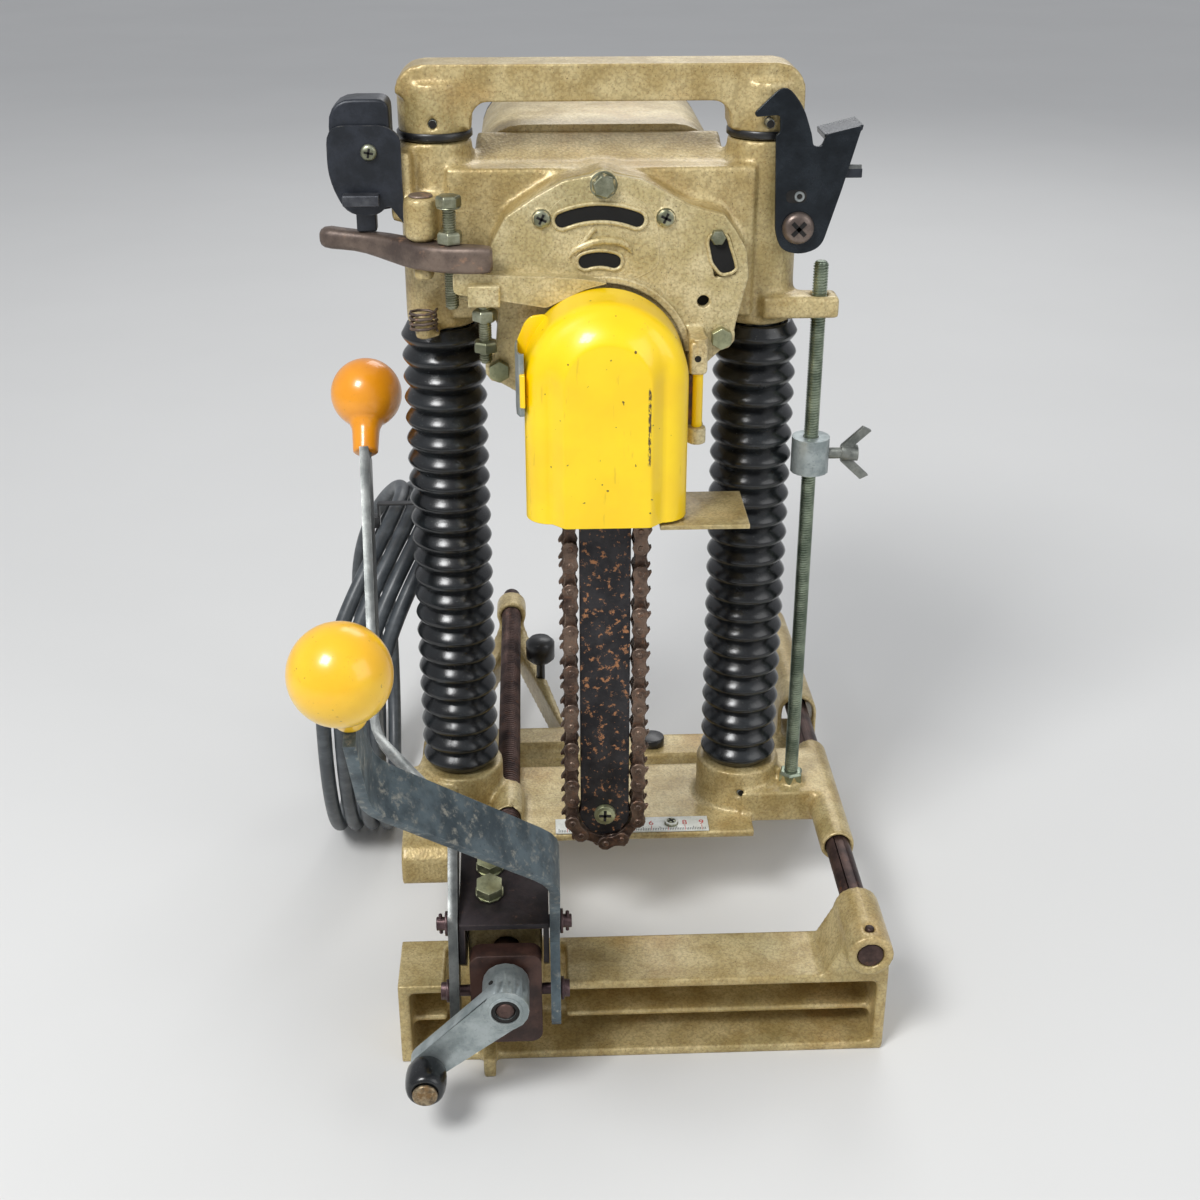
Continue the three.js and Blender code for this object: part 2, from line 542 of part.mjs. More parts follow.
// Replaces each inner corner of a line by a short round stretch
function softened(points, bend) {
  const out = [points[0]];
  for (let i = 1; i < points.length - 1; i += 1) {
    const towards = (other) => other.clone().sub(points[i]).setLength(bend).add(points[i]);
    const curve = new THREE.QuadraticBezierCurve(towards(points[i - 1]), points[i], towards(points[i + 1]));
    out.push(...curve.getPoints(3));
  }
  out.push(points[points.length - 1]);
  return out;
}

function tailPlate(x) {
  const start = [PIVOT.y, PIVOT.z];
  const length = Math.hypot(PIN.lead, PIN.drop);
  const way = [-PIN.lead / length, -PIN.drop / length];
  const end = [start[0] + way[0] * (length + ARM.tail), start[1] + way[1] * (length + ARM.tail)];
  const half = ARM.tailWidth / 2;
  const shape = new THREE.Shape([
    [start[0] + half * way[1], start[1] - half * way[0]], [start[0] - half * way[1], start[1] + half * way[0]],
    [end[0] - half * way[1], end[1] + half * way[0]], [end[0] + half * way[1], end[1] - half * way[0]],
  ].map(([u, v]) => new THREE.Vector2(u, v)));
  return join(
    prism('x', x, x + ARM.thick, shape),
    bar('x', x, x + ARM.thick, start, ARM.width / 2, SMALL),
    bar('x', x, x + ARM.thick, end, half, SMALL),
  );
}

function leverHoles(x) {
  const hole = (y, z, radius) => bar('x', x - CUT, x + ARM.thick + CUT, [y, z], radius, SMALL);
  return [hole(PIVOT.y, PIVOT.z, PIVOT.radius + RUN), hole(LOW_PIN.y, LOW_PIN.z, PIN.radius + GAP)];
}

function bentStrap(line, bend, width, lean) {
  const geometry = new THREE.ExtrudeGeometry(bentOutline(line, ARM.thick / 2, bend), { depth: width, bevelEnabled: false });
  geometry.translate(0, 0, -width / 2);
  geometry.applyMatrix4(FRAMES.y);
  return leaned(geometry, lean);
}

function ballKnob(x, lean, distance) {
  const foot = distance - BALL.neckLength;
  const profile = [[0, foot], [BALL.neckTip, foot]];
  const arc = 7;
  const neckAngle = Math.asin(BALL.neck / BALL.radius);
  for (let i = 0; i <= arc; i += 1) {
    const angle = neckAngle + (TURN / 2 - neckAngle) * i / arc;
    const radius = i === arc ? 0 : BALL.radius * Math.sin(angle);
    profile.push([radius, distance - BALL.radius * Math.cos(angle)]);
  }
  const geometry = new THREE.LatheGeometry(profile.map(([r, s]) => new THREE.Vector2(r, s)), ROUND);
  geometry.rotateX(TURN / 4);
  geometry.translate(x, 0, 0);
  return leaned(geometry, lean);
}

function leverEnd(lever) {
  return lever.ball - BALL.neckLength - GAP;
}

// The stud on a lever's end that its ball screws on, or with some extra all round the hole for it
function leverStud(lever, lean, extra) {
  const length = BALL.studLength + CUT;
  const geometry = new THREE.CylinderGeometry(BALL.stud + extra, BALL.stud + extra, length + extra, TINY);
  geometry.rotateX(TURN / 4);
  geometry.translate(lever.outer, 0, leverEnd(lever) - CUT + (length + extra) / 2);
  return leaned(geometry, lean);
}

function buildLevers() {
  const { left, right } = cheekPlaces();
  const strapX = right + BRACKET.cheek + ARM.play;
  const barX = left - ARM.play - ARM.thick;
  const strapMid = strapX + ARM.thick / 2;
  const barMid = barX + ARM.thick / 2;
  const strapLine = [[strapMid, 0], [strapMid, STRAP.bendLow], [STRAP.outer, STRAP.bendHigh], [STRAP.outer, leverEnd(STRAP)]];
  const barLine = [[barMid, 0], [barMid, BAR.bendLow], [BAR.middle, BAR.bendHigh], [BAR.outer, leverEnd(BAR)]];
  const strap = join(
    bentStrap(strapLine, STRAP.bend, ARM.width, STRAP.lean),
    tailPlate(strapX),
    leverStud(STRAP, STRAP.lean, 0),
  );
  place(machine, 'front_lever', 'darkSteel', cut(strap, ...leverHoles(strapX)));
  const rear = join(
    bentStrap(barLine, BAR.bend, BAR.width, -BAR.lean),
    tailPlate(barX),
    leverStud(BAR, -BAR.lean, 0),
  );
  place(machine, 'rear_lever', 'steel', cut(rear, ...leverHoles(barX)));

  const frontBall = ballKnob(STRAP.outer, STRAP.lean, STRAP.ball);
  const rearBall = ballKnob(BAR.outer, -BAR.lean, BAR.ball);
  place(machine, 'front_ball_knob', 'ball', cut(frontBall, leverStud(STRAP, STRAP.lean, GAP)));
  place(machine, 'rear_ball_knob', 'ball', cut(rearBall, leverStud(BAR, -BAR.lean, GAP)));

  const lowFrom = barX - GAP;
  const lowTo = strapX + ARM.thick + GAP;
  const at = [LOW_PIN.y, LOW_PIN.z];
  place(machine, 'lever_link_pin', 'rust', join(
    bar('x', lowFrom - PIN.washer, lowTo + PIN.washer, at, PIN.radius, TINY),
    bar('x', lowFrom - PIN.washer, lowFrom, at, PIN.washerRadius, SMALL),
    bar('x', lowTo, lowTo + PIN.washer, at, PIN.washerRadius, SMALL),
    bar('x', lowFrom - PIN.end, lowFrom - PIN.washer + GAP, at, PIN.radius + PIN.washer, TINY),
    bar('x', lowTo + PIN.washer - GAP, lowTo + PIN.end, at, PIN.radius + PIN.washer, TINY),
  ));
}

// Lead screw, crank and spinning knob
function crankPin() {
  const angle = degrees(CRANK.angle);
  return [SCREW.x + CRANK.throw * Math.cos(angle), SCREW.z + CRANK.throw * Math.sin(angle)];
}

function buildCrank() {
  const at = [SCREW.x, SCREW.z];
  place(machine, 'lead_screw', 'darkSteel', join(
    bar('y', SCREW.front, SCREW.shoulder + GAP, at, SCREW.neck),
    bar('y', SCREW.shoulder, SCREW.back, at, SCREW.radius),
  ));

  const [px, pz] = crankPin();
  const angle = degrees(CRANK.angle);
  const lean = Math.asin((CRANK.hub - CRANK.tip) / CRANK.throw);
  const arm = new THREE.Shape();
  arm.absarc(SCREW.x, SCREW.z, CRANK.hub, angle + TURN / 4 - lean, angle + TURN * 3 / 4 + lean);
  arm.absarc(px, pz, CRANK.tip, angle - TURN / 4 + lean, angle + TURN / 4 - lean);
  const body = join(
    prism('y', CRANK.armFront, CRANK.armBack, arm, 5),
    bar('y', CRANK.hubFront, CRANK.hubBack, at, CRANK.hub),
  );
  place(machine, 'crank', 'steel', cut(
    body,
    bar('y', CRANK.hubFront - CUT, CRANK.hubBack + CUT, at, SCREW.neck + GAP),
    bar('y', CRANK.armFront - CUT, CRANK.armBack + CUT, [px, pz], KNOB.pin + GAP, SMALL),
  ));
  place(machine, 'crank_handle_pin', 'rust', join(
    bar('y', KNOB.front - GAP - KNOB.discThick, KNOB.front - GAP, [px, pz], KNOB.disc),
    bar('y', KNOB.front - KNOB.discThick, CRANK.armBack, [px, pz], KNOB.pin, SMALL),
  ));
  const back = CRANK.armFront - RUN;
  const bore = KNOB.pin + RUN;
  place(machine, 'crank_knob', 'rubber', turned('y', [px, pz], [
    [bore, KNOB.front], [KNOB.radius - KNOB.bevel, KNOB.front], [KNOB.radius, KNOB.front + KNOB.bevel],
    [KNOB.radius, back - KNOB.bevel], [KNOB.radius - KNOB.bevel, back], [bore, back], [bore, KNOB.front],
  ]));
}

// Rear jaw
function rearJaw() {
  const shell = cut(
    box([JAW.left, JAW.right], [REAR.front, REAR.back], [0, JAW.height]),
    box([JAW.left + REAR.wall, JAW.right - REAR.wall], [REAR.front + REAR.wall, REAR.back + CUT], [REAR.flange, JAW.height - REAR.flange]),
  );
  const middle = (REAR.nutFront + REAR.nutBack) / 2;
  const frame = cut(
    prism('z', REAR.frameBase, REAR.frameTop, [
      [SCREW.x - REAR.frameHalf, REAR.front + REAR.wall], [SCREW.x + REAR.frameHalf, REAR.front + REAR.wall],
      [SCREW.x + REAR.frameTip, middle], [SCREW.x - REAR.frameTip, middle],
    ]),
    prism('z', REAR.frameBase - CUT, REAR.frameTop + CUT, [
      [SCREW.x - REAR.frameHalf + REAR.frameBar, REAR.back], [SCREW.x + REAR.frameHalf - REAR.frameBar, REAR.back],
      [SCREW.x + GAP, REAR.nutFront - REAR.frameBar], [SCREW.x - GAP, REAR.nutFront - REAR.frameBar],
    ]),
  );
  const block = box([SCREW.x - REAR.frameTip, SCREW.x + REAR.frameTip], [REAR.nutFront, REAR.nutBack], [REAR.frameBase, SCREW.z]);
  const nut = bar('y', REAR.nutFront, REAR.nutBack, [SCREW.x, SCREW.z], REAR.nutRadius);
  const tubeAt = [ROD.x, ROD.z];
  const hood = join(
    bar('y', REAR.hoodFront, REAR.tubeBack, tubeAt, REAR.hood, ROUND, REAR.tubeTip),
    box([ROD.x - REAR.hood, ROD.x + REAR.hood], [REAR.hoodFront, REAR.hoodBack], [REAR.frameBase, ROD.z]),
  );
  const hollow = join(
    bar('y', REAR.hoodFront - CUT, REAR.hollowBack, tubeAt, REAR.hollow),
    box([ROD.x - REAR.hollow, ROD.x + REAR.hollow], [REAR.hoodFront - CUT, REAR.hoodBack + CUT], [JAW.height, ROD.z]),
  );
  return cut(
    join(shell, frame, block, nut, hood),
    hollow,
    bar('y', REAR.hoodFront, REAR.tubeBack + CUT, tubeAt, ROD.radius + RUN),
    bar('y', REAR.nutFront - CUT, REAR.nutBack + CUT, [SCREW.x, SCREW.z], SCREW.radius + RUN),
    bar('z', REAR.frameTop - LOCK_KNOB.seat, REAR.frameTop + CUT, [LOCK_KNOB.x, LOCK_KNOB.y], LOCK_KNOB.stud + RUN, SMALL),
  );
}

function buildRearJaw() {
  place(machine, 'rear_jaw', 'goldPaint', rearJaw());
  const at = [LOCK_KNOB.x, LOCK_KNOB.y];
  const { stud, radius, studTop, height } = LOCK_KNOB;
  place(machine, 'lock_knob', 'rubber', turned('z', at, [
    [0, REAR.frameTop - LOCK_KNOB.seat + GAP], [stud, REAR.frameTop - LOCK_KNOB.seat + GAP], [stud, studTop],
    [radius - stud, studTop], [radius, studTop + stud], [radius, studTop + height - stud],
    [radius - stud, studTop + height], [0, studTop + height],
  ]));
  const padAt = [PLUG_PAD.x, PLUG_PAD.y];
  place(machine, 'rear_jaw_plug', 'rubber', bar('z', JAW.height + GAP, JAW.height + GAP + PLUG_PAD.height, padAt, PLUG_PAD.radius));
}

// Carriage with the two columns
function columnCross(x, radius, reach, z) {
  return bar('y', -reach, reach, [x, z], radius, TINY);
}

function rulerScrewPlaces() {
  const y = (RULER.front + RULER.back) / 2;
  return [[RULER.left + RULER.leftInset, y], [RULER.right - RULER.rightInset, y]];
}

function carriageCasting() {
  const deckTop = CARRIAGE.sole + CARRIAGE.deck;
  const bosses = [-COLUMN.x, COLUMN.x].map((x) => bar('z', CARRIAGE.sole, CARRIAGE.bossTop, [x, 0], CARRIAGE.bossRadius, FINE));
  const body = join(
    box([-COLUMN.x, CARRIAGE.right], [CARRIAGE.front, CARRIAGE.back], [CARRIAGE.sole, deckTop]),
    ...bosses,
    box([COLUMN.x, ROD.x], [CARRIAGE.webFront, CARRIAGE.webBack], [CARRIAGE.sole, CARRIAGE.webTop]),
    bar('y', CARRIAGE.tubeFront, CARRIAGE.tubeBack, [ROD.x, ROD.z], CARRIAGE.tube),
    bar('y', CARRIAGE.screwBossFront, CARRIAGE.screwBossBack, [SCREW.x, SCREW.z], CARRIAGE.screwBoss),
    bar('y', CARRIAGE.screwBossFront - CARRIAGE.screwNut, CARRIAGE.screwBossFront, [SCREW.x, SCREW.z], CARRIAGE.screwBoss, HEX),
    bar('z', CARRIAGE.sole, CARRIAGE.webTop + DEPTH.nut, [DEPTH.x, DEPTH.y], DEPTH.nutAcross / Math.sqrt(3), HEX),
    prism('x', CARRIAGE.blockLeft, CARRIAGE.blockRight, [
      [CARRIAGE.blockFront, CARRIAGE.sole], [0, CARRIAGE.sole], [0, CARRIAGE.blockTop],
      [CARRIAGE.front, CARRIAGE.blockTop], [CARRIAGE.blockFront + JAW.wall, CARRIAGE.blockTop - JAW.wall],
      [CARRIAGE.blockFront, CARRIAGE.blockTop - 2 * JAW.wall],
    ]),
  );
  const columns = [-COLUMN.x, COLUMN.x].map((x) => bar('z', COLUMN.foot, CARRIAGE.bossTop + CUT, [x, 0], COLUMN.radius + GAP, ROUND));
  const pins = [-COLUMN.x, COLUMN.x].map((x) => {
    return columnCross(x, COLUMN_PIN.radius + GAP, CARRIAGE.bossRadius + CUT, COLUMN_PIN.z);
  });
  const screws = rulerScrewPlaces().map(([x, y]) => {
    return bar('z', CARRIAGE.sole + GAP, deckTop + CUT, [x, y], RULER_SCREW.radius + GAP, TINY);
  });
  return cut(
    body,
    ...columns,
    ...pins,
    ...screws,
    bar('y', CARRIAGE.blockFront, CARRIAGE.tubeBack + CUT, [ROD.x, ROD.z], ROD.radius + RUN),
    bar('y', CARRIAGE.front - CUT, CARRIAGE.tubeBack + CUT, [SCREW.x, SCREW.z], SCREW.radius + RUN),
    bar('z', DEPTH.foot - GAP, CARRIAGE.webTop + DEPTH.nut + CUT, [DEPTH.x, DEPTH.y], DEPTH.radius + GAP, SMALL),
  );
}

// A column with the roll pins that are driven through its two ends
function columnSolid(x, pinFront) {
  return join(
    bar('z', COLUMN.foot + GAP, COLUMN.top, [x, 0], COLUMN.radius),
    columnCross(x, COLUMN_PIN.radius, COLUMN_PIN.reach, COLUMN_PIN.z),
    bar('y', pinFront, HANDLE_PIN.back, [x, HANDLE_PIN_HEIGHT], HANDLE_PIN.radius, TINY),
  );
}

function bellows(x) {
  const low = CARRIAGE.bossTop + GAP;
  const pitch = (BELLOWS.top - low) / BELLOWS.ribs;
  const outer = [];
  const bore = [];
  for (let i = 0; i < BELLOWS.ribs; i += 1) {
    outer.push([BELLOWS.root, low + i * pitch], [BELLOWS.crest, low + (i + 0.5) * pitch]);
    if (i % BELLOWS.boreEvery === 0) {
      bore.push([BELLOWS.bore, low + i * pitch]);
    }
  }
  outer.push([BELLOWS.root, BELLOWS.top]);
  bore.push([BELLOWS.bore, BELLOWS.top]);
  return turned('z', [x, 0], [...outer, ...bore.reverse(), outer[0]], BELLOWS.sides);
}

function returnSpring(x) {
  const low = CARRIAGE.bossTop + GAP + SPRING.wire;
  const high = HEAD.bottom - GAP - SPRING.wire;
  const pitch = (high - low) / SPRING.curls;
  const coil = new Coil({ x, y: 0, radius: SPRING.radius, low, pitch, curls: SPRING.curls, wire: SPRING.wire });
  return tube(coil, SPRING.wire, 5, SPRING.curls * 8 + 2);
}

function buildCarriage() {
  place(machine, 'carriage', 'goldPaint', carriageCasting());
  const sides = [['left', -COLUMN.x, HANDLE_PIN.front], ['right', COLUMN.x, HANDLE_PIN.hookFront]];
  for (const [side, x, pinFront] of sides) {
    place(machine, `${side}_column`, 'steel', columnSolid(x, pinFront));
    place(machine, `${side}_bellows`, 'rubber', bellows(x));
    place(machine, `${side}_return_spring`, 'steel', returnSpring(x));
  }

  const deckTop = CARRIAGE.sole + CARRIAGE.deck;
  const top = deckTop + GAP + RULER.thick;
  const screws = rulerScrewPlaces().flatMap((at) => [
    bar('z', top - RULER_SCREW.length, top, at, RULER_SCREW.radius, TINY),
    bar('z', top - GAP, top + RULER_SCREW.headHeight, at, RULER_SCREW.head, TINY),
  ]);
  const plate = box([RULER.left, RULER.right], [RULER.front, RULER.back], [deckTop + GAP, top]);
  place(machine, 'ruler', 'white', join(plate, ...screws));
}

// Depth rod, nut, collar and wing screw
function buildDepthStop() {
  const at = [DEPTH.x, DEPTH.y];
  place(machine, 'depth_rod', 'zinc', bar('z', DEPTH.foot, DEPTH.top, at, DEPTH.radius, SMALL));

  const middle = (COLLAR.low + COLLAR.high) / 2;
  const collar = ring('z', COLLAR.low, COLLAR.high, at, COLLAR.radius, DEPTH.radius + RUN);
  const thread = bar('x', DEPTH.x + DEPTH.radius, DEPTH.x + COLLAR.radius + CUT, [DEPTH.y, middle], WING.radius + RUN, SMALL);
  place(machine, 'depth_collar', 'zinc', cut(collar, thread));
  const wing = (side) => prism('y', DEPTH.y - WING.thick / 2, DEPTH.y + WING.thick / 2, [
    [WING.neck, middle], [WING.neck + WING.hub, middle + side * WING.hub / 2], [WING.tip, middle + side * WING.span],
    [WING.tip - WING.hub, middle + side * (WING.span + WING.hub / 2)], [WING.neck, middle + side * WING.hub],
  ]);
  place(machine, 'wing_screw', 'copper', join(
    bar('x', WING.inner, WING.neck + WING.hub, [DEPTH.y, middle], WING.radius, SMALL),
    bar('x', WING.neck, WING.neck + WING.hub * 2, [DEPTH.y, middle], WING.hub, SMALL),
    wing(1),
    wing(-1),
  ));
}

// Head casting
function coverOutline() {
  const point = ([across, up]) => new THREE.Vector2(across * COVER_PLATE.half, SHAFT.z + up * COVER_PLATE.rise);
  return new THREE.Shape([...COVER_RIGHT_SHARES.map(point), ...COVER_LEFT_SHARES.map(point)].reverse());
}

function onCover([across, up]) {
  return [across * COVER_PLATE.half, SHAFT.z + up * COVER_PLATE.rise];
}

function coverFasteners(radiusOf) {
  return [
    ...Object.values(HEX_BOLT_SHARES).map((share) => [onCover(share), radiusOf(HEX_BOLT), HEX_BOLT.length]),
    ...PAN_SCREW_PLACE_SHARES.map((share) => [onCover(share), radiusOf(PAN_SCREW), PAN_SCREW.length]),
  ];
}

function fastenerHoles() {
  return coverFasteners((kind) => kind.radius + GAP).map(([at, radius, length]) => {
    return bar('y', COVER_PLATE.front - CUT, COVER_PLATE.front + length + GAP, at, radius, TINY);
  });
}

function fastenerBosses(from, to) {
  return [TOP_BOLT_SHARE, ...Object.values(HEX_BOLT_SHARES)].map((share) => bar('y', from, to, onCover(share), COVER_PLATE.boss, SMALL));
}

function headCasting() {
  const bosses = [-COLUMN.x, COLUMN.x].map((x) => bar('z', HEAD.bottom, HEAD.bossTop, [x, 0], HEAD.bossRadius, FINE));
  const bores = [-COLUMN.x, COLUMN.x].map((x) => bar('z', HEAD.bottom - CUT, HEAD.bossTop + CUT, [x, 0], COLUMN.radius + RUN));
  const ridge = prism('x', -HEAD.ridgeHalf, HEAD.ridgeHalf, [
    [HEAD.ridgeFront, HEAD.bodyTop - HEAD.wall], [HEAD.back, HEAD.bodyTop - HEAD.wall],
    [HEAD.back, HEAD.ridgeTop], [HEAD.ridgeFront, HEAD.bodyTop],
  ]);
  const body = join(
    box([-HEAD.half, HEAD.half], [HEAD.front, HEAD.back], [HEAD.bodyBottom, HEAD.bodyTop]),
    ridge,
    ...bosses,
    prism('y', HEAD.caseFront, HEAD.cavityBack + HEAD.wall, coverOutline()),
    ...fastenerBosses(HEAD.caseFront, HEAD.front + CUT),
    bar('y', HOOK.front + HOOK.thick + GAP, 0, [HOOK.x, HOOK.z], HOOK.ear),
    box([COLUMN.x, DEPTH.earRight], [DEPTH.y - DEPTH.earHalf, DEPTH.y + DEPTH.earHalf], [DEPTH.earLow, DEPTH.earHigh]),
    bar('z', STOP.earLow, STOP.earHigh, [STOP.x, STOP.y], STOP.ear),
    bar('z', STOP.pinFoot, STOP.earLow + CUT, [STOP.x, STOP.y], STOP.pin, SMALL),
    bar('z', STOP.pinFoot - CUT, STOP.low - RUN, [STOP.x, STOP.y], STOP.pin + CUT, SMALL),
    box([STOP.x - STOP.ear, STOP.x + STOP.ear], [STOP.y, -HEAD.wall], [STOP.earLow, STOP.earHigh - HEAD.wall]),
    bar('z', HEAD.bottom, STOP_SPRING.low + STOP_SPRING.pitch * STOP_SPRING.curls, [STOP_SPRING.x, STOP_SPRING.y], STOP_SPRING.post, SMALL),
    box([STOP_SPRING.x, -COLUMN.x], [STOP_SPRING.y, 0], [HEAD.bottom, HEAD.bottom + HEAD.wall - GAP]),
    box([SWITCH.padLeft, SWITCH.padRight], [SWITCH.padFront, -HEAD.wall], [SWITCH.padLow, SWITCH.padHigh]),
  );
  const bigTip = GEAR.module * GEAR.big / 2 + GEAR.module + HEAD.wall / 2;
  const smallTip = GEAR.module * GEAR.small / 2 + GEAR.module + HEAD.wall;
  return cut(
    body,
    ...bores,
    bar('y', HEAD.cavityFront - CUT, HEAD.cavityBack, [0, SHAFT.z], bigTip, FINE),
    bar('y', HEAD.cavityFront - CUT, HEAD.cavityBack, [0, MOTOR.z], smallTip, ROUND),
    bar('y', HEAD.cavityBack - CUT, HEAD.back + CUT, [0, MOTOR.z], MOTOR.shaft + HEAD.wall, ROUND),
    bar('z', DEPTH.earLow - CUT, DEPTH.earHigh + CUT, [DEPTH.x, DEPTH.y], DEPTH.radius + 2 * RUN, SMALL),
    bar('y', HOOK.front, HOOK.front + HOOK_SCREW.length + GAP, [HOOK.x, HOOK.z], HOOK_SCREW.radius + RUN, SMALL),
    ...fastenerHoles(),
  );
}

// Motor behind the head
function motorShell() {
  const outer = roundedShape(-MOTOR.half, MOTOR.half, MOTOR.z - MOTOR.rise, MOTOR.z + MOTOR.rise, MOTOR.corner);
  const inner = roundedShape(
    -MOTOR.half + MOTOR.wall, MOTOR.half - MOTOR.wall,
    MOTOR.z - MOTOR.rise + MOTOR.wall, MOTOR.z + MOTOR.rise - MOTOR.wall, MOTOR.corner - MOTOR.wall,
  );
  const hollow = prism('y', MOTOR.front + MOTOR.wall, MOTOR.back + CUT, inner, 3);
  const shell = cut(prism('y', MOTOR.front, MOTOR.back, outer, 3), hollow);
  return cut(shell, bar('y', MOTOR.front - CUT, MOTOR.front + MOTOR.wall + CUT, [0, MOTOR.z], MOTOR.shaft + HEAD.wall));
}

function motorCap() {
  const outer = roundedShape(-MOTOR.half, MOTOR.half, MOTOR.z - MOTOR.rise, MOTOR.z + MOTOR.rise, MOTOR.corner);
  const from = MOTOR.back + GAP;
  const vents = [];
  for (let i = 0; i < MOTOR.vents; i += 1) {
    const z = MOTOR.z + (i - (MOTOR.vents - 1) / 2) * MOTOR.ventPitch;
    vents.push(box([-MOTOR.ventLength / 2, MOTOR.ventLength / 2], [from - CUT, from + MOTOR.capThick + CUT], [z, z + MOTOR.vent]));
  }
  const cordHole = bar('y', from - CUT, from + MOTOR.capThick + CUT, [GLAND.x, GLAND.z], CORD.radius + GAP, SMALL);
  return cut(prism('y', from, from + MOTOR.capThick, outer, 3), ...vents, cordHole);
}

// A spur gear's outline with straight-flanked teeth
function gearShape(teeth, phase) {
  const pitch = GEAR.module * teeth / 2;
  const [tip, root] = [pitch + GEAR.tipShare * GEAR.module, pitch - GEAR.rootShare * GEAR.module];
  const shape = [];
  const toothShares = [[root, -0.27], [tip, -0.1], [tip, 0.1], [root, 0.27]];
  for (let i = 0; i < teeth; i += 1) {
    for (const [radius, share] of toothShares) {
      const angle = TURN * (i + share * (1 - GEAR.backlash) + phase) / teeth;
      shape.push([radius * Math.sin(angle), radius * Math.cos(angle)]);
    }
  }
  return shape;
}

function gearSolid(teeth, z, bore, phase) {
  const outline = gearShape(teeth, phase).map(([x, up]) => [x, z + up]);
  return cut(prism('y', GEAR.front, GEAR.back, outline), bar('y', GEAR.front - CUT, GEAR.back + CUT, [0, z], bore, SMALL));
}

function buildMotor() {
  place(machine, 'motor_housing', 'goldPaint', motorShell());
  place(machine, 'motor_end_cap', 'rubber', motorCap());
  const at = [0, MOTOR.z];
  const stator = ring('y', MOTOR.coreFront, MOTOR.coreBack, at, MOTOR.stator, MOTOR.statorBore);
  const reach = MOTOR.half - MOTOR.wall - GAP;
  const footBase = MOTOR.stator - MOTOR.wall;
  const feet = [[-reach, -footBase], [footBase, reach]].map((span) => box(
    span,
    [MOTOR.coreFront, MOTOR.coreBack],
    [MOTOR.z - MOTOR.wall, MOTOR.z + MOTOR.wall],
  ));
  place(machine, 'motor_stator', 'darkSteel', join(stator, ...feet));
  const rotor = turned('y', at, [
    [0, MOTOR.shaftFront], [MOTOR.shaft, MOTOR.shaftFront], [MOTOR.shaft, MOTOR.fanFront], [MOTOR.fan, MOTOR.fanFront],
    [MOTOR.fan, MOTOR.fanBack], [MOTOR.shaft, MOTOR.fanBack], [MOTOR.shaft, MOTOR.coreFront], [MOTOR.core, MOTOR.coreFront],
    [MOTOR.core, MOTOR.coreBack], [MOTOR.shaft, MOTOR.coreBack], [MOTOR.shaft, MOTOR.commFront],
    [MOTOR.commutator, MOTOR.commFront], [MOTOR.commutator, MOTOR.commBack], [MOTOR.shaft, MOTOR.commBack],
    [MOTOR.shaft, MOTOR.shaftBack], [0, MOTOR.shaftBack],
  ], TINY);
  place(machine, 'armature', 'copper', join(rotor, gearSolid(GEAR.small, MOTOR.z, MOTOR.shaft - GAP, 0.5)));
}

// Gears, sprocket shaft and bearing
function buildDrive() {
  const at = [0, SHAFT.z];
  place(machine, 'drive_gear', 'darkSteel', gearSolid(GEAR.big, SHAFT.z, SHAFT.radius + GAP, 0));
  const [front, back] = [CHAIN.y - SPROCKET.half, CHAIN.y + SPROCKET.half];
  place(machine, 'sprocket_shaft', 'steel', join(
    bar('y', SHAFT.front, SHAFT.back, at, SHAFT.radius, SMALL),
    bar('y', front, back, at, SPROCKET.radius),
  ));
}

// Gear-case cover plate
function coverPlate() {
  const back = HEAD.caseFront - GAP;
  const plate = join(
    prism('y', COVER_PLATE.front, back, coverOutline()),
    box([STUD.x - STUD.lugHalf, STUD.x + STUD.lugHalf], [STUD.y - STUD.lugHalf + CUT, back], [STUD.lugLow, STUD.lugHigh]),
    ...fastenerBosses(COVER_PLATE.front, back),
  );
  const lean = degrees(VENT_SLOT.lean);
  const oblong = new THREE.BoxGeometry(2 * VENT_SLOT.half, VENT_SLOT.depth, VENT_SLOT.length);
  oblong.rotateY(-lean);
  oblong.translate(VENT_SLOT.x, COVER_PLATE.front, VENT_SLOT.z);
  const [from, to] = [COVER_PLATE.front - CUT, back + CUT];
  return cut(
    plate,
    arcSlot('y', from, to, [0, VENT_ARC.centre], VENT_ARC.wide, VENT_ARC.widthWide, VENT_ARC.spread),
    arcSlot('y', from, to, [0, VENT_ARC.centre], VENT_ARC.narrow, VENT_ARC.widthNarrow, VENT_ARC.spread),
    solidOf(oblong),
    bar('y', from, to, [OIL_HOLE.x, OIL_HOLE.z], OIL_HOLE.radius, SMALL),
    bar('y', from, to, [0, SHAFT.z], SHAFT.radius + RUN, SMALL),
    bar('z', STUD.lugLow - CUT, STUD.lugHigh - CUT + GAP, [STUD.x, STUD.y], STUD.radius + GAP, TINY),
    bar('y', from, to, [DEFLECTOR_SCREW.x, DEFLECTOR_SCREW.z], DEFLECTOR_SCREW.radius + GAP, TINY),
    ...fastenerHoles(),
  );
}

function hingeLugs() {
  const at = [HINGE.x, HINGE.y];
  const spans = [[HINGE.low - HINGE.lugHeight, HINGE.low - GAP], [HINGE.high + GAP, HINGE.high + HINGE.lugHeight]];
  return spans.map(([low, high]) => join(
    bar('z', low, high, at, HINGE.lug, SMALL),
    box([HINGE.x - HINGE.radius, HINGE.x + HINGE.radius], [HINGE.y, COVER_PLATE.front], [low, high]),
  ));
}

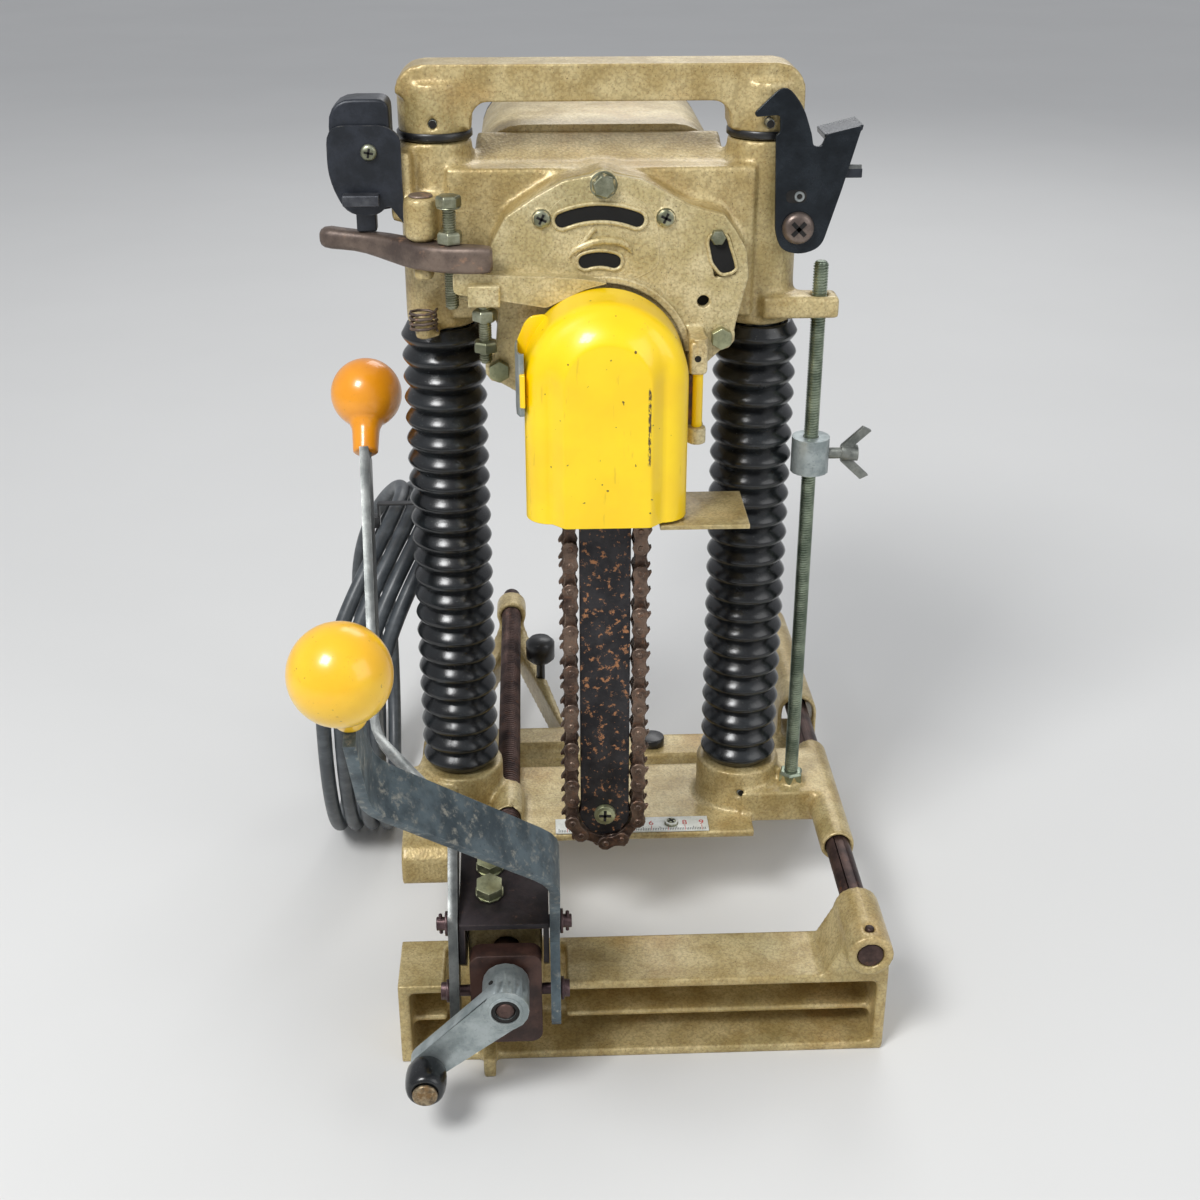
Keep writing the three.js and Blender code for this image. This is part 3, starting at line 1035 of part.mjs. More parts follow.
function buildCoverPlate() {
  const carrier = box(
    [HINGE.x - HINGE.radius, HINGE.x + HINGE.radius],
    [COVER_PLATE.front - HINGE.strap, HEAD.caseFront - GAP],
    [HINGE.low - HINGE.lugHeight, HINGE.high + HINGE.lugHeight],
  );
  const hex = HEX_BOLT.across / Math.sqrt(3);
  const topBolt = bar('y', COVER_PLATE.front - HEX_BOLT.head, COVER_PLATE.front + GAP, onCover(TOP_BOLT_SHARE), hex, HEX);
  const hingePin = bar('z', HINGE.low - CUT, HINGE.high + CUT, [HINGE.x, HINGE.y], HINGE.pin, TINY);
  const seat = COVER_PLATE.front - GAP;
  const screws = PAN_SCREW_PLACE_SHARES.map((share) => {
    return panScrew(PAN_SCREW, onCover(share), COVER_PLATE.front + GAP, COVER_PLATE.front + PAN_SCREW.length);
  });
  place(machine, 'gear_cover', 'goldPaint', join(coverPlate(), carrier, ...hingeLugs(), hingePin, topBolt, ...screws));
  for (const [side, share] of Object.entries(HEX_BOLT_SHARES)) {
    place(machine, `gear_cover_bolt_${side}`, 'zinc', join(
      bar('y', seat - HEX_BOLT.head / 2, COVER_PLATE.front + HEX_BOLT.length, onCover(share), HEX_BOLT.radius, TINY),
      bar('y', seat - HEX_BOLT.head, seat, onCover(share), hex, HEX),
    ));
  }
}

// A round-headed screw along Y: its seat and the end of its shank
function panScrew(kind, at, seat, end) {
  return join(
    bar('y', seat - kind.headHeight, seat, at, kind.head, SMALL),
    bar('y', seat - kind.headHeight / 2, end, at, kind.radius, TINY),
  );
}

function switchScrewPlace() {
  return [SWITCH.left + SWITCH_SCREW.xShare * (SWITCH.right - SWITCH.left), SWITCH_SCREW.z];
}

// Chain, its bar, nose roller and screw
function chainPlace(run) {
  const straight = SHAFT.z - CHAIN.nose;
  const arc = TURN / 2 * CHAIN.path;
  const whole = 2 * straight + 2 * arc;
  const at = ((run % whole) + whole) % whole;
  if (at < straight) {
    return { x: CHAIN.path, z: CHAIN.nose + at, out: 0 };
  }
  if (at < straight + arc) {
    const angle = (at - straight) / CHAIN.path;
    return { x: CHAIN.path * Math.cos(angle), z: SHAFT.z + CHAIN.path * Math.sin(angle), out: angle };
  }
  if (at < 2 * straight + arc) {
    return { x: -CHAIN.path, z: SHAFT.z - (at - straight - arc), out: TURN / 2 };
  }
  const angle = (at - 2 * straight - arc) / CHAIN.path + TURN / 2;
  return { x: CHAIN.path * Math.cos(angle), z: CHAIN.nose + CHAIN.path * Math.sin(angle), out: angle };
}

function chainLength() {
  return 2 * (SHAFT.z - CHAIN.nose) + TURN * CHAIN.path;
}

// The run of tie straps as one closed loop
function chainBand() {
  const loop = (out) => {
    const shape = new THREE.Shape();
    shape.absarc(0, SHAFT.z, CHAIN.path + out, 0, TURN / 2);
    shape.absarc(0, CHAIN.nose, CHAIN.path + out, TURN / 2, TURN);
    return shape;
  };
  const solid = prism('y', CHAIN.y - CHAIN.inner, CHAIN.y + CHAIN.inner, loop(CHAIN.band), 6);
  return cut(solid, prism('y', CHAIN.y - CHAIN.outer, CHAIN.y + CHAIN.outer, loop(-CHAIN.band), 6));
}

// Cutter links, each with a raised tooth
function outerLinks() {
  const pitch = chainLength() / CHAIN.links;
  const reach = CHAIN.linkLength / 2;
  const linkShares = [[-1, -0.8], [1, -0.8], [1, 0.7], [0.3, 1], [-0.15, 1.85], [-1, 0.7]];
  const links = [];
  for (let i = 0; i < CHAIN.links; i += 2) {
    const { x, z, out } = chainPlace(i * pitch);
    const outline = linkShares.map(([alongShare, outShare]) => {
      const [s, o] = [alongShare * reach, outShare * CHAIN.linkHigh];
      return [x - s * Math.sin(out) + o * Math.cos(out), z + s * Math.cos(out) + o * Math.sin(out)];
    });
    links.push(prism('y', CHAIN.y - CHAIN.outer, CHAIN.y + CHAIN.outer, outline));
  }
  return links;
}

function buildChain() {
  const at = [0, CHAIN.nose];
  const inside = CHAIN.path - CHAIN.band;
  place(machine, 'chain', 'rust', join(chainBand(), ...outerLinks()));
  const [front, back] = [CHAIN.y - CHAIN_BAR.core, CHAIN.y + CHAIN_BAR.core];
  const rollerRoom = bar('y', front - CUT, back + CUT, at, ROLLER.radius + RUN);
  const shaftRoom = bar('y', front - 4 * CUT, back + 4 * CUT, [0, SHAFT.z], SPROCKET.radius + 2 * RUN);
  const core = cut(box([-CHAIN_BAR.half, CHAIN_BAR.half], [front, back], [CHAIN.nose, CHAIN_BAR.top]), rollerRoom);
  const cheeks = [[front - CHAIN_BAR.cheek, front], [back, back + CHAIN_BAR.cheek]].map(([from, to]) => join(
    bar('y', from, to, at, CHAIN_BAR.cheekRadius),
    box([-CHAIN_BAR.half, CHAIN_BAR.half], [from, to], [CHAIN.nose, CHAIN_BAR.top]),
  ));
  const bore = bar('y', front - 2 * CUT, back + 2 * CUT, at, NOSE_SCREW.radius + GAP, SMALL);
  const carrier = box(
    [-CHAIN_BAR.half, CHAIN_BAR.half],
    [back, COVER_PLATE.front - GAP],
    [CHAIN_BAR.top - 2 * CHAIN_BAR.half, CHAIN_BAR.top],
  );
  place(machine, 'chain_bar', 'rust', cut(join(core, ...cheeks, carrier), bore, shaftRoom));
  place(machine, 'nose_roller', 'darkSteel', ring(
    'y', CHAIN.y - ROLLER.half, CHAIN.y + ROLLER.half, at, Math.min(ROLLER.radius, inside - RUN), NOSE_SCREW.radius + RUN,
  ));
  const seat = front - CHAIN_BAR.cheek - GAP;
  const end = back + CHAIN_BAR.cheek + GAP;
  place(machine, 'nose_screw', 'zinc', join(
    bar('y', seat - NOSE_SCREW.headHeight, seat, at, NOSE_SCREW.head),
    bar('y', seat - GAP, end + NOSE_SCREW.headHeight, at, NOSE_SCREW.radius, SMALL),
    bar('y', end, end + NOSE_SCREW.headHeight, at, NOSE_SCREW.nut / Math.sqrt(3), HEX),
  ));
}

// Chain cover: a deep arched shell with a raised panel, hinged on the right
function archShape(half, bottom, centre) {
  const shape = new THREE.Shape();
  shape.moveTo(-half, bottom);
  shape.lineTo(half, bottom);
  shape.absarc(0, centre, half, 0, TURN / 2);
  return shape;
}

function chainCover() {
  const { half, centre, front, back, bottom, wall, panelHalf, panelFront, panelTop } = COVER;
  const outer = join(
    prism('y', front, back, archShape(half, bottom, centre), 8),
    prism('y', panelFront, front + CUT, archShape(panelHalf, bottom, panelTop - panelHalf), 5),
  );
  const inner = join(
    prism('y', front + wall, back + CUT, archShape(half - wall, bottom - CUT, centre), 8),
    prism('y', panelFront + wall, front + 2 * CUT, archShape(panelHalf - wall, bottom - CUT, panelTop - panelHalf), 5),
  );
  const ear = prism('y', back - 2 * HINGE.radius, back, COVER_EAR_SHARES.map(([across, up]) => [across * half, centre + up * half]));
  const at = [HINGE.x, HINGE.y];
  const knuckle = bar('z', HINGE.low, HINGE.high, at, HINGE.radius, SMALL);
  const strap = box([half - wall / 2, HINGE.x], [HINGE.y - HINGE.strap / 2, HINGE.y + HINGE.strap / 2], [HINGE.low, HINGE.high]);
  const pin = bar('z', HINGE.low - CUT, HINGE.high + CUT, at, HINGE.pin + RUN, SMALL);
  const side = -COVER.half;
  const clip = prism('z', CATCH.low, CATCH.high, [
    [side - CATCH.thick, CATCH.front], [side + wall / 2, CATCH.front], [side + wall / 2, CATCH.back], [side - 2 * CATCH.thick, CATCH.back],
  ]);
  return cut(join(cut(outer, inner), ear, knuckle, strap, clip), pin);
}

function buildCover() {
  place(machine, 'chain_cover', 'yellow', chainCover());
  const legTop = DEFLECTOR.legTop;
  const back = COVER_PLATE.front - GAP;
  const screwAt = [DEFLECTOR_SCREW.x, DEFLECTOR_SCREW.z];
  const deflector = join(
    box([DEFLECTOR.left, DEFLECTOR.right], [DEFLECTOR.front, back], [DEFLECTOR.z, DEFLECTOR.z + DEFLECTOR.thick]),
    box([DEFLECTOR.left, DEFLECTOR.legRight], [DEFLECTOR.legFront, back], [DEFLECTOR.z, legTop]),
  );
  const screw = panScrew(DEFLECTOR_SCREW, screwAt, DEFLECTOR.legFront + GAP, DEFLECTOR.legFront + DEFLECTOR_SCREW.length);
  place(machine, 'chip_deflector', 'goldPaint', join(deflector, screw));
}

// Stop lever with its pin, bolt and spring, and the stud under it
function buildStop() {
  const pinAt = [STOP.x, STOP.y];
  const boltAt = [STOP_BOLT.x, STOP_BOLT.y];
  const length = STOP.endX - STOP.tipX;
  const outline = STOP_OUTLINE_SHARES.map(([run, out]) => [STOP.tipX + run * length, STOP.y + out * STOP.half]);
  const lever = prism('z', STOP.low, STOP.high, outline);
  const hole = (at, radius) => bar('z', STOP.low - CUT, STOP.high + CUT, at, radius, SMALL);
  place(machine, 'stop_lever', 'rust', cut(lever, hole(pinAt, STOP.pin + RUN), hole(boltAt, STOP_BOLT.radius + GAP)));
  const hex = STOP_BOLT.across / Math.sqrt(3);
  place(machine, 'stop_bolt', 'zinc', join(
    bar('z', STOP_BOLT.low, STOP_BOLT.headBase + GAP, boltAt, STOP_BOLT.radius, SMALL),
    bar('z', STOP_BOLT.headBase, STOP_BOLT.headBase + STOP_BOLT.head, boltAt, hex, HEX),
    bar('z', STOP.high + GAP, STOP.high + GAP + STOP_BOLT.nut, boltAt, hex, HEX),
  ));
  const { x, y, radius, low, pitch, curls, wire } = STOP_SPRING;
  place(machine, 'stop_spring', 'steel', tube(new Coil({ x, y, radius, low: low + wire, pitch, curls, wire }), wire, 5, curls * 8 + 2));
  const studAt = [STUD.x, STUD.y];
  const nutHex = STUD.across / Math.sqrt(3);
  place(machine, 'stop_stud', 'zinc', join(
    bar('z', STUD.low, STUD.lugHigh - CUT, studAt, STUD.radius, SMALL),
    bar('z', STUD.upper, STUD.upper + STUD.nut, studAt, nutHex, HEX),
    bar('z', STUD.lower, STUD.lower + STUD.nut, studAt, nutHex, HEX),
  ));
}

// Switch box with its sheet guard and trigger
function buildSwitch() {
  const { left, right, front, back, low, high, skin, bodyInset } = SWITCH;
  const guard = cut(
    prism('x', left, right, [[front, low], [back, low], [back, SWITCH.rear], [front, high]]),
    prism('x', left + skin, right + CUT, [
      [front + skin, low - CUT], [back + CUT, low - CUT], [back + CUT, SWITCH.rear - skin], [front + skin, high - skin],
    ]),
  );
  const inset = skin / 2;
  const stemRoom = [
    [TRIGGER.x - TRIGGER.half - RUN, TRIGGER.x + TRIGGER.half + RUN],
    [front + inset + bodyInset, front + inset + bodyInset + TRIGGER.thick + 2 * RUN],
    [low - CUT, low + TRIGGER.stem + TRIGGER.travel + RUN],
  ];
  const body = box([left + inset, right], [front + inset, back], [low, high - inset - bodyInset]);
  const screw = panScrew(SWITCH_SCREW, switchScrewPlace(), front + GAP, front + skin + inset);
  const sheet = prism('y', front, front + skin, [
    [right - skin, high - skin], [right, high - skin], [SWITCH.sheetRight, SWITCH.sheetHigh], [SWITCH.sheetRight, SWITCH.sheetLow],
    [right, SWITCH.sheetHem], [right - skin, SWITCH.sheetHem],
  ]);
  place(machine, 'switch_box', 'black', join(guard, sheet, cut(body, box(...stemRoom)), screw));
  const [tx, ty] = [stemRoom[0], stemRoom[1]];
  place(machine, 'switch_trigger', 'black', box([tx[0] + RUN, tx[1] - RUN], [ty[0] + RUN, ty[1] - RUN], [TRIGGER.low, low + TRIGGER.stem]));
}

// Top handle with its cross pins and the bump rings under it
function topHandle() {
  const outer = new THREE.Shape();
  const { half, corner, gripHalf, inner, grip } = HANDLE;
  const [base, top, low] = [HANDLE_BASE, HANDLE_TOP, HANDLE_BASE - BUMPER.height];
  outer.moveTo(-half, base);
  outer.absarc(-half + corner, top - corner, corner, TURN / 2, TURN / 4, true);
  outer.absarc(half - corner, top - corner, corner, TURN / 4, 0, true);
  outer.lineTo(half, base);
  outer.lineTo(gripHalf, base);
  outer.absarc(gripHalf - inner, top - grip - inner, inner, 0, TURN / 4);
  outer.absarc(-gripHalf + inner, top - grip - inner, inner, TURN / 4, TURN / 2);
  outer.lineTo(-gripHalf, base);
  const legs = [-COLUMN.x, COLUMN.x].map((x) => bar('z', base, top - grip / 2, [x, 0], HANDLE.legRadius));
  const rings = [-COLUMN.x, COLUMN.x].map((x) => bar('z', low, base, [x, 0], BUMPER.radius));
  const bores = [-COLUMN.x, COLUMN.x].map((x) => bar('z', low - CUT, COLUMN.top + GAP, [x, 0], COLUMN.radius + GAP));
  const pins = [-COLUMN.x, COLUMN.x].map((x) => {
    return columnCross(x, HANDLE_PIN.radius + GAP, HANDLE.legRadius + CUT, HANDLE_PIN_HEIGHT);
  });
  return cut(join(prism('y', -HANDLE.depth, HANDLE.depth, outer, 3), ...legs, ...rings), ...bores, ...pins);
}

function buildHandle() {
  place(machine, 'top_handle', 'goldPaint', topHandle());
}

// Latch hook, its pivot screw and spring
function buildLatch() {
  const back = HOOK.front + HOOK.thick;
  const outline = HOOK_OUTLINE_SHARES.map(([across, up]) => [HOOK.x + across * HOOK.scale, HOOK.z + up * HOOK.scale]);
  const [right, top] = outline[5];
  const [left, low] = outline[6];
  const flange = prism('y', back - GAP, back + HOOK.flange, [
    [left, low - HOOK.flangeThick], [right, top - HOOK.flangeThick], [right, top], [left, low],
  ]);
  const hole = bar('y', HOOK.front - CUT, back + CUT, [HOOK.x, HOOK.z], HOOK_SCREW.radius + RUN, SMALL);
  place(machine, 'latch_hook', 'black', cut(join(prism('y', HOOK.front, back, outline), flange), hole));
  const seat = HOOK.front - GAP;
  place(machine, 'latch_screw', 'black', join(
    bar('y', seat - HOOK_SCREW.headHeight, seat, [HOOK.x, HOOK.z], HOOK_SCREW.head),
    bar('y', seat - HOOK_SCREW.headHeight / 2, HOOK.front + HOOK_SCREW.length, [HOOK.x, HOOK.z], HOOK_SCREW.radius, TINY),
  ));
}

// Standing hank: loops side by side along X, leaning towards the column at the top
class HankCurve extends THREE.Curve {
  getPoint(t, target = new THREE.Vector3()) {
    const { lead, loop, whole } = hankLengths();
    const run = t * whole - lead;
    const turns = THREE.MathUtils.clamp(run / loop, 0, HANK.turns);
    const extra = run - turns * loop;
    const angle = TURN / 4 - TURN * turns;
    const up = Math.sin(angle);
    const lean = up > 0 ? HANK.lean * up * up : 0;
    target.set(
      HANK.right - HANK.pitch * turns + lean,
      HANK.y - HANK.halfDepth * Math.cos(angle),
      hankCentre() + HANK.halfHeight * up,
    );
    target.y += Math.abs(extra);
    if (extra > 0) {
      target.z += (PLUG.radius - CORD.radius) * THREE.MathUtils.smoothstep(extra / TAIL.length, 0, 1);
    }
    return target;
  }
}

// The lengths of the straight lead-in, of one loop and of the whole tube with its tail
function hankLengths() {
  const lead = 2 * CORD.radius;
  const loop = TURN * (HANK.halfDepth + HANK.halfHeight) / 2;
  return { lead, loop, whole: lead + HANK.turns * loop + TAIL.length };
}

function hankCentre() {
  return HANK.halfHeight + CORD.radius;
}

function buildCord() {
  const coil = new HankCurve();
  const { loop, whole } = hankLengths();
  const steps = Math.round(HANK.steps * whole / loop);
  place(machine, 'cord_hank', 'cord', tube(coil, CORD.radius, HANK.sides, steps));
  const lead = new THREE.CatmullRomCurve3(LEAD_ROUTE.map(([x, y, z]) => vector(x, y, z)), false, 'centripetal');
  place(machine, 'cord_lead', 'cord', tube(lead, CORD.radius, CORD.sides, CORD.leadSteps));

  const endX = HANK.right - HANK.pitch * HANK.turns;
  const plugZ = PLUG.radius;
  const plugStart = HANK.y + TAIL.length + GAP;
  const pin = (side) => bar(
    'y', plugStart + PLUG.length - CUT, plugStart + PLUG.length + PLUG.pinLength, [endX + side * PLUG.pinGap, plugZ], PLUG.pin, TINY,
  );
  place(machine, 'mains_plug', 'rubber', join(turned('y', [endX, plugZ], [
    [0, plugStart], [PLUG.grip, plugStart], [PLUG.grip + CUT, plugStart + PLUG.length / 3],
    [PLUG.radius - GAP, plugStart + PLUG.length / 2], [PLUG.radius - GAP, plugStart + PLUG.length], [0, plugStart + PLUG.length],
  ]), pin(-1), pin(1)));

  const seat = MOTOR.back + MOTOR.capThick + 2 * GAP;
  const flangeBack = seat + GLAND.flangeThick;
  place(machine, 'strain_relief', 'rubber', join(
    bar('y', seat, flangeBack, [GLAND.x, GLAND.z], GLAND.flange, ROUND),
    bar('y', flangeBack - GAP, flangeBack + GLAND.length, [GLAND.x, GLAND.z], GLAND.flange - CUT, ROUND, GLAND.tip),
  ));
  buildTie(coil);
}

// A strap round all the strands near the top of the hank
function buildTie(coil) {
  const { lead, loop, whole } = hankLengths();
  const points = [];
  for (let i = 0; i < HANK.turns; i += 1) {
    points.push(coil.getPoint((lead + (i + TIE.turn) * loop) / whole));
  }
  const low = Math.min(...points.map((p) => p.x)) - CORD.radius - CUT;
  const high = Math.max(...points.map((p) => p.x)) + CORD.radius + CUT;
  const z = points[0].z;
  const y = points[0].y;
  const reach = CORD.radius + 3 * CUT;
  const band = (out) => box([low - out, high + out], [y - TIE.width / 2, y + TIE.width / 2], [z - reach - out, z + reach + out]);
  const head = box([low - TIE.head, low - GAP], [y - TIE.head / 2, y + TIE.head / 2], [z - TIE.head / 2, z + TIE.head / 2]);
  const room = box([low, high], [y - TIE.width, y + TIE.width], [z - reach, z + reach]);
  place(machine, 'cable_tie', 'rubber', join(cut(band(TIE.thick), room), head));
}

buildBase();
buildBracket();
buildBlock();
buildLevers();
buildCrank();
buildRearJaw();
buildCarriage();
buildDepthStop();
place(machine, 'head_casting', 'goldPaint', headCasting());
buildMotor();
buildDrive();
buildCoverPlate();
buildChain();
buildCover();
buildStop();
buildSwitch();
buildHandle();
buildLatch();
buildCord();

export default model;
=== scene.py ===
import json
import math

import bmesh
import bpy
from mathutils import Matrix, Vector


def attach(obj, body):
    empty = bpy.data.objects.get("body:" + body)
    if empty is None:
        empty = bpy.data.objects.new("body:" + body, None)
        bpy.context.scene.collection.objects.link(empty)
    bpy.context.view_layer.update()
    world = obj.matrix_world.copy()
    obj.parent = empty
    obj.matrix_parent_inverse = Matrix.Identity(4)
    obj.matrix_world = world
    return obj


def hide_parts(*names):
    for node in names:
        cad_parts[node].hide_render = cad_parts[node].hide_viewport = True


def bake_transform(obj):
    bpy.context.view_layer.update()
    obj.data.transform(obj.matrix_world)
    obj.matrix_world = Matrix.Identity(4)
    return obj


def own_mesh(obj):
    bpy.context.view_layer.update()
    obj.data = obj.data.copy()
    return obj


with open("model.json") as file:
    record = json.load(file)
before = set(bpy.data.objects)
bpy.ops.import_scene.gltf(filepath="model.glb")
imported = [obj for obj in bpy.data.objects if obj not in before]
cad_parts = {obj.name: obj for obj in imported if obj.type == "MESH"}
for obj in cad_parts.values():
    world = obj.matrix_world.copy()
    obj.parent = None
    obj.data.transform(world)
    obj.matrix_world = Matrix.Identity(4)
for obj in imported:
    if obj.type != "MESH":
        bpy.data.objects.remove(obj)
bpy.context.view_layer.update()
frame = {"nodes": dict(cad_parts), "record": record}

# Chain mortiser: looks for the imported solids. Sizes in this file are millimetres until at() turns them
# to metres, and Y counts from the plane of the two columns, as in the part's source.
MM = 0.001
COLUMN_PLANE = 143
TURN = 2 * math.pi
UP, FORWARDS, BACKWARDS = (0, 0, 1), (0, -1, 0), (0, 1, 0)

# Lines that several pieces share: X and Y of the upright ones, X and Z of those that run front to back
COLUMN_X = 84
DEPTH_ROD = (115, -15)
STOP_PIN = (-90, -42)
STOP_BOLT = (-76, -50.5)
STOP_STUD = (-60, -52)
HINGE = (47, -62)
SCREW_X, SCREW_Z = -56, 70
GRIP_X, GRIP_Z = -96.75, 34.57
LATCH_X = 99.8
COVER_FACE = -44


def at(x, y, z):
    return Vector((x, y + COLUMN_PLANE, z)) * MM


# Camera at the photograph's place: its lens, height and tilt were solved from the photograph
CAMERA_PLACE = Vector((-0.0357, -0.709, 0.6126))
CAMERA_HEADING = (0.0419, 0.9991)
CAMERA_TILT = math.radians(25.97)
camera_data = bpy.data.cameras.new("camera")
camera_data.lens = 48.96
camera_data.sensor_width = 36
camera_data.clip_start = 0.02
camera_data.clip_end = 60
camera = bpy.data.objects.new("camera", camera_data)
bpy.context.scene.collection.objects.link(camera)
camera.location = CAMERA_PLACE
camera_way = Vector((
    CAMERA_HEADING[0] * math.cos(CAMERA_TILT),
    CAMERA_HEADING[1] * math.cos(CAMERA_TILT),
    -math.sin(CAMERA_TILT),
))
camera.rotation_euler = camera_way.to_track_quat("-Z", "Y").to_euler()
bpy.context.scene.camera = camera


# Mesh helpers
def make_object(name, vertices, faces, smooth=True):
    mesh = bpy.data.meshes.new(name)
    mesh.from_pydata([tuple(v) for v in vertices], [], faces)
    return finish_mesh(name, mesh, smooth)


def finish_mesh(name, mesh, smooth=True):
    work = bmesh.new()
    work.from_mesh(mesh)
    bmesh.ops.recalc_face_normals(work, faces=work.faces)
    work.to_mesh(mesh)
    work.free()
    for polygon in mesh.polygons:
        polygon.use_smooth = smooth
    mesh.update()
    piece = bpy.data.objects.new(name, mesh)
    bpy.context.scene.collection.objects.link(piece)
    return piece


def mesh_of(name, work):
    """The mesh of a finished bmesh, which is freed."""
    mesh = bpy.data.meshes.new(name)
    work.to_mesh(mesh)
    work.free()
    return mesh


def sharpen(piece, degrees):
    """Smooth shading, apart from edges sharper than this angle."""
    piece.data.shade_smooth()
    piece.data.set_sharp_from_angle(angle=math.radians(degrees))
    return piece


def basis_of(axis):
    """Three directions: two across and one along an axis."""
    way = Vector(axis).normalized()
    side = way.orthogonal().normalized() if abs(way.z) < 0.9 else Vector((1, 0, 0))
    side = (side - way * side.dot(way)).normalized()
    return side, way.cross(side), way


def spoke(across, up, angle):
    """The direction at this angle round an axis, from its two directions across."""
    return across * math.cos(angle) + up * math.sin(angle)


def ring_faces(start, rings, sides):
    """The faces between rings of points that follow one another."""
    faces = []
    for low in range(start, start + (rings - 1) * sides, sides):
        for i in range(sides):
            j = (i + 1) % sides
            faces.append((low + i, low + j, low + sides + j, low + sides + i))
    return faces


def turned(name, place, axis, profile, body, look, *stands_for, sides=48, degrees=50):
    """A turned piece: pairs of radius and run along the axis from a place, all in millimetres."""
    origin = at(*place)
    across, up, way = basis_of(axis)
    vertices = []
    rings = []
    for radius, run in profile:
        centre = origin + way * run * MM
        if radius <= 0:
            rings.append([len(vertices)])
            vertices.append(centre)
            continue
        rings.append(list(range(len(vertices), len(vertices) + sides)))
        for i in range(sides):
            vertices.append(centre + spoke(across, up, TURN * i / sides) * radius * MM)
    faces = []
    for low, high in zip(rings, rings[1:]):
        for i in range(sides):
            j = (i + 1) % sides
            if len(low) == 1 and len(high) == 1:
                continue
            if len(low) == 1:
                faces.append((low[0], high[i], high[j]))
            elif len(high) == 1:
                faces.append((low[i], high[0], low[j]))
            else:
                faces.append((low[i], high[i], high[j], low[j]))
    return put(sharpen(make_object(name, vertices, faces), degrees), body, look, *stands_for)


def sweep(name, path, radius_of, sides, closed_ends=True):
    """A round tube along a path in metres, with a radius in millimetres for each share of its length."""
    frames = []
    side = None
    for i, place in enumerate(path):
        way = (path[min(i + 1, len(path) - 1)] - path[max(i - 1, 0)]).normalized()
        if side is None:
            side = way.orthogonal().normalized()
        side = (side - way * side.dot(way)).normalized()
        frames.append((place, side.copy(), way.cross(side)))
    vertices = []
    for i, (place, across, up) in enumerate(frames):
        radius = radius_of(i / (len(path) - 1)) * MM
        vertices += [place + spoke(across, up, TURN * j / sides) * radius for j in range(sides)]
    faces = []
    for i in range(len(path) - 1):
        for j in range(sides):
            k = (j + 1) % sides
            faces.append((i * sides + j, (i + 1) * sides + j, (i + 1) * sides + k, i * sides + k))
    if closed_ends:
        faces.append(tuple(range(sides)))
        faces.append(tuple(range(len(vertices) - sides, len(vertices))))
    return sharpen(make_object(name, vertices, faces), 60)


def spline(points, steps):
    """A smooth centripetal line through points, each stretch in even steps."""
    ends = [points[0] * 2 - points[1], *points, points[-1] * 2 - points[-2]]
    out = []
    for i in range(1, len(ends) - 2):
        p0, p1, p2, p3 = ends[i - 1:i + 3]
        knots = [0.0]
        for a, b in ((p0, p1), (p1, p2), (p2, p3)):
            knots.append(knots[-1] + max((b - a).length, 1e-9) ** 0.5)
        for step in range(steps):
            t = knots[1] + (knots[2] - knots[1]) * step / steps
            a1 = p0.lerp(p1, (t - knots[0]) / (knots[1] - knots[0]))
            a2 = p1.lerp(p2, (t - knots[1]) / (knots[2] - knots[1]))
            a3 = p2.lerp(p3, (t - knots[2]) / (knots[3] - knots[2]))
            b1 = a1.lerp(a2, (t - knots[0]) / (knots[2] - knots[0]))
            b2 = a2.lerp(a3, (t - knots[1]) / (knots[3] - knots[1]))
            out.append(b1.lerp(b2, (t - knots[1]) / (knots[2] - knots[1])))
    out.append(points[-1].copy())
    return out


def across_y(y):
    """Places an outline of X and Z at this Y, with its depth towards the back."""
    return Matrix(((1, 0, 0, 0), (0, 0, 1, (y + COLUMN_PLANE) * MM), (0, 1, 0, 0), (0, 0, 0, 1)))


def across_z(z):
    """Places an outline of X and Y at this height, with its depth upwards."""
    return Matrix(((1, 0, 0, 0), (0, 1, 0, COLUMN_PLANE * MM), (0, 0, 1, z * MM), (0, 0, 0, 1)))


def fillet(corners):
    """An outline from corners of across, up and radius, each corner turned into a short curve."""
    outline = []
    count = len(corners)
    for i, (x, z, radius) in enumerate(corners):
        corner = Vector((x, z))
        before = Vector(corners[i - 1][:2]) - corner
        after = Vector(corners[(i + 1) % count][:2]) - corner
        reach = min(radius, before.length * 0.48, after.length * 0.48)
        if reach < 0.05:
            outline.append((x, z))
            continue
        start = corner + before.normalized() * reach
        end = corner + after.normalized() * reach
        for step in range(6):
            share = step / 5
            outline.append(tuple(start.lerp(corner, share).lerp(corner.lerp(end, share), share)))
    return outline


def prism(name, outline, depth, matrix, bevel, segments=2):
    """A flat outline in millimetres pushed along its own Z by a depth and placed by a matrix."""
    work = bmesh.new()
    face = work.faces.new([work.verts.new((u * MM, v * MM, 0)) for u, v in outline])
    grown = bmesh.ops.extrude_face_region(work, geom=[face])
    moved = [v for v in grown["geom"] if isinstance(v, bmesh.types.BMVert)]
    bmesh.ops.translate(work, verts=moved, vec=(0, 0, depth * MM))
    mesh = mesh_of(name, work)
    mesh.transform(matrix)
    return soften(finish_mesh(name, mesh), bevel, segments)


def soften(piece, width, segments=2, degrees=40):
    """Rounds a piece's edges and shades it smoothly."""
    if width > 0:
        bevel = piece.modifiers.new("rounded edges", "BEVEL")
        bevel.width = width * MM
        bevel.segments = segments
        bevel.limit_method = "ANGLE"
        bevel.angle_limit = math.radians(degrees)
        bevel.harden_normals = True
        bevel.use_clamp_overlap = True
    piece.data.shade_smooth()
    return piece


def dot(name, place, radius, height, body, look, axis=FORWARDS, sides=24):
    """A thin disc, such as a hole's floor painted dark as its shade."""
    turned(name, place, axis, [(radius, 0), (radius, height), (0, height)], body, look, sides=sides)


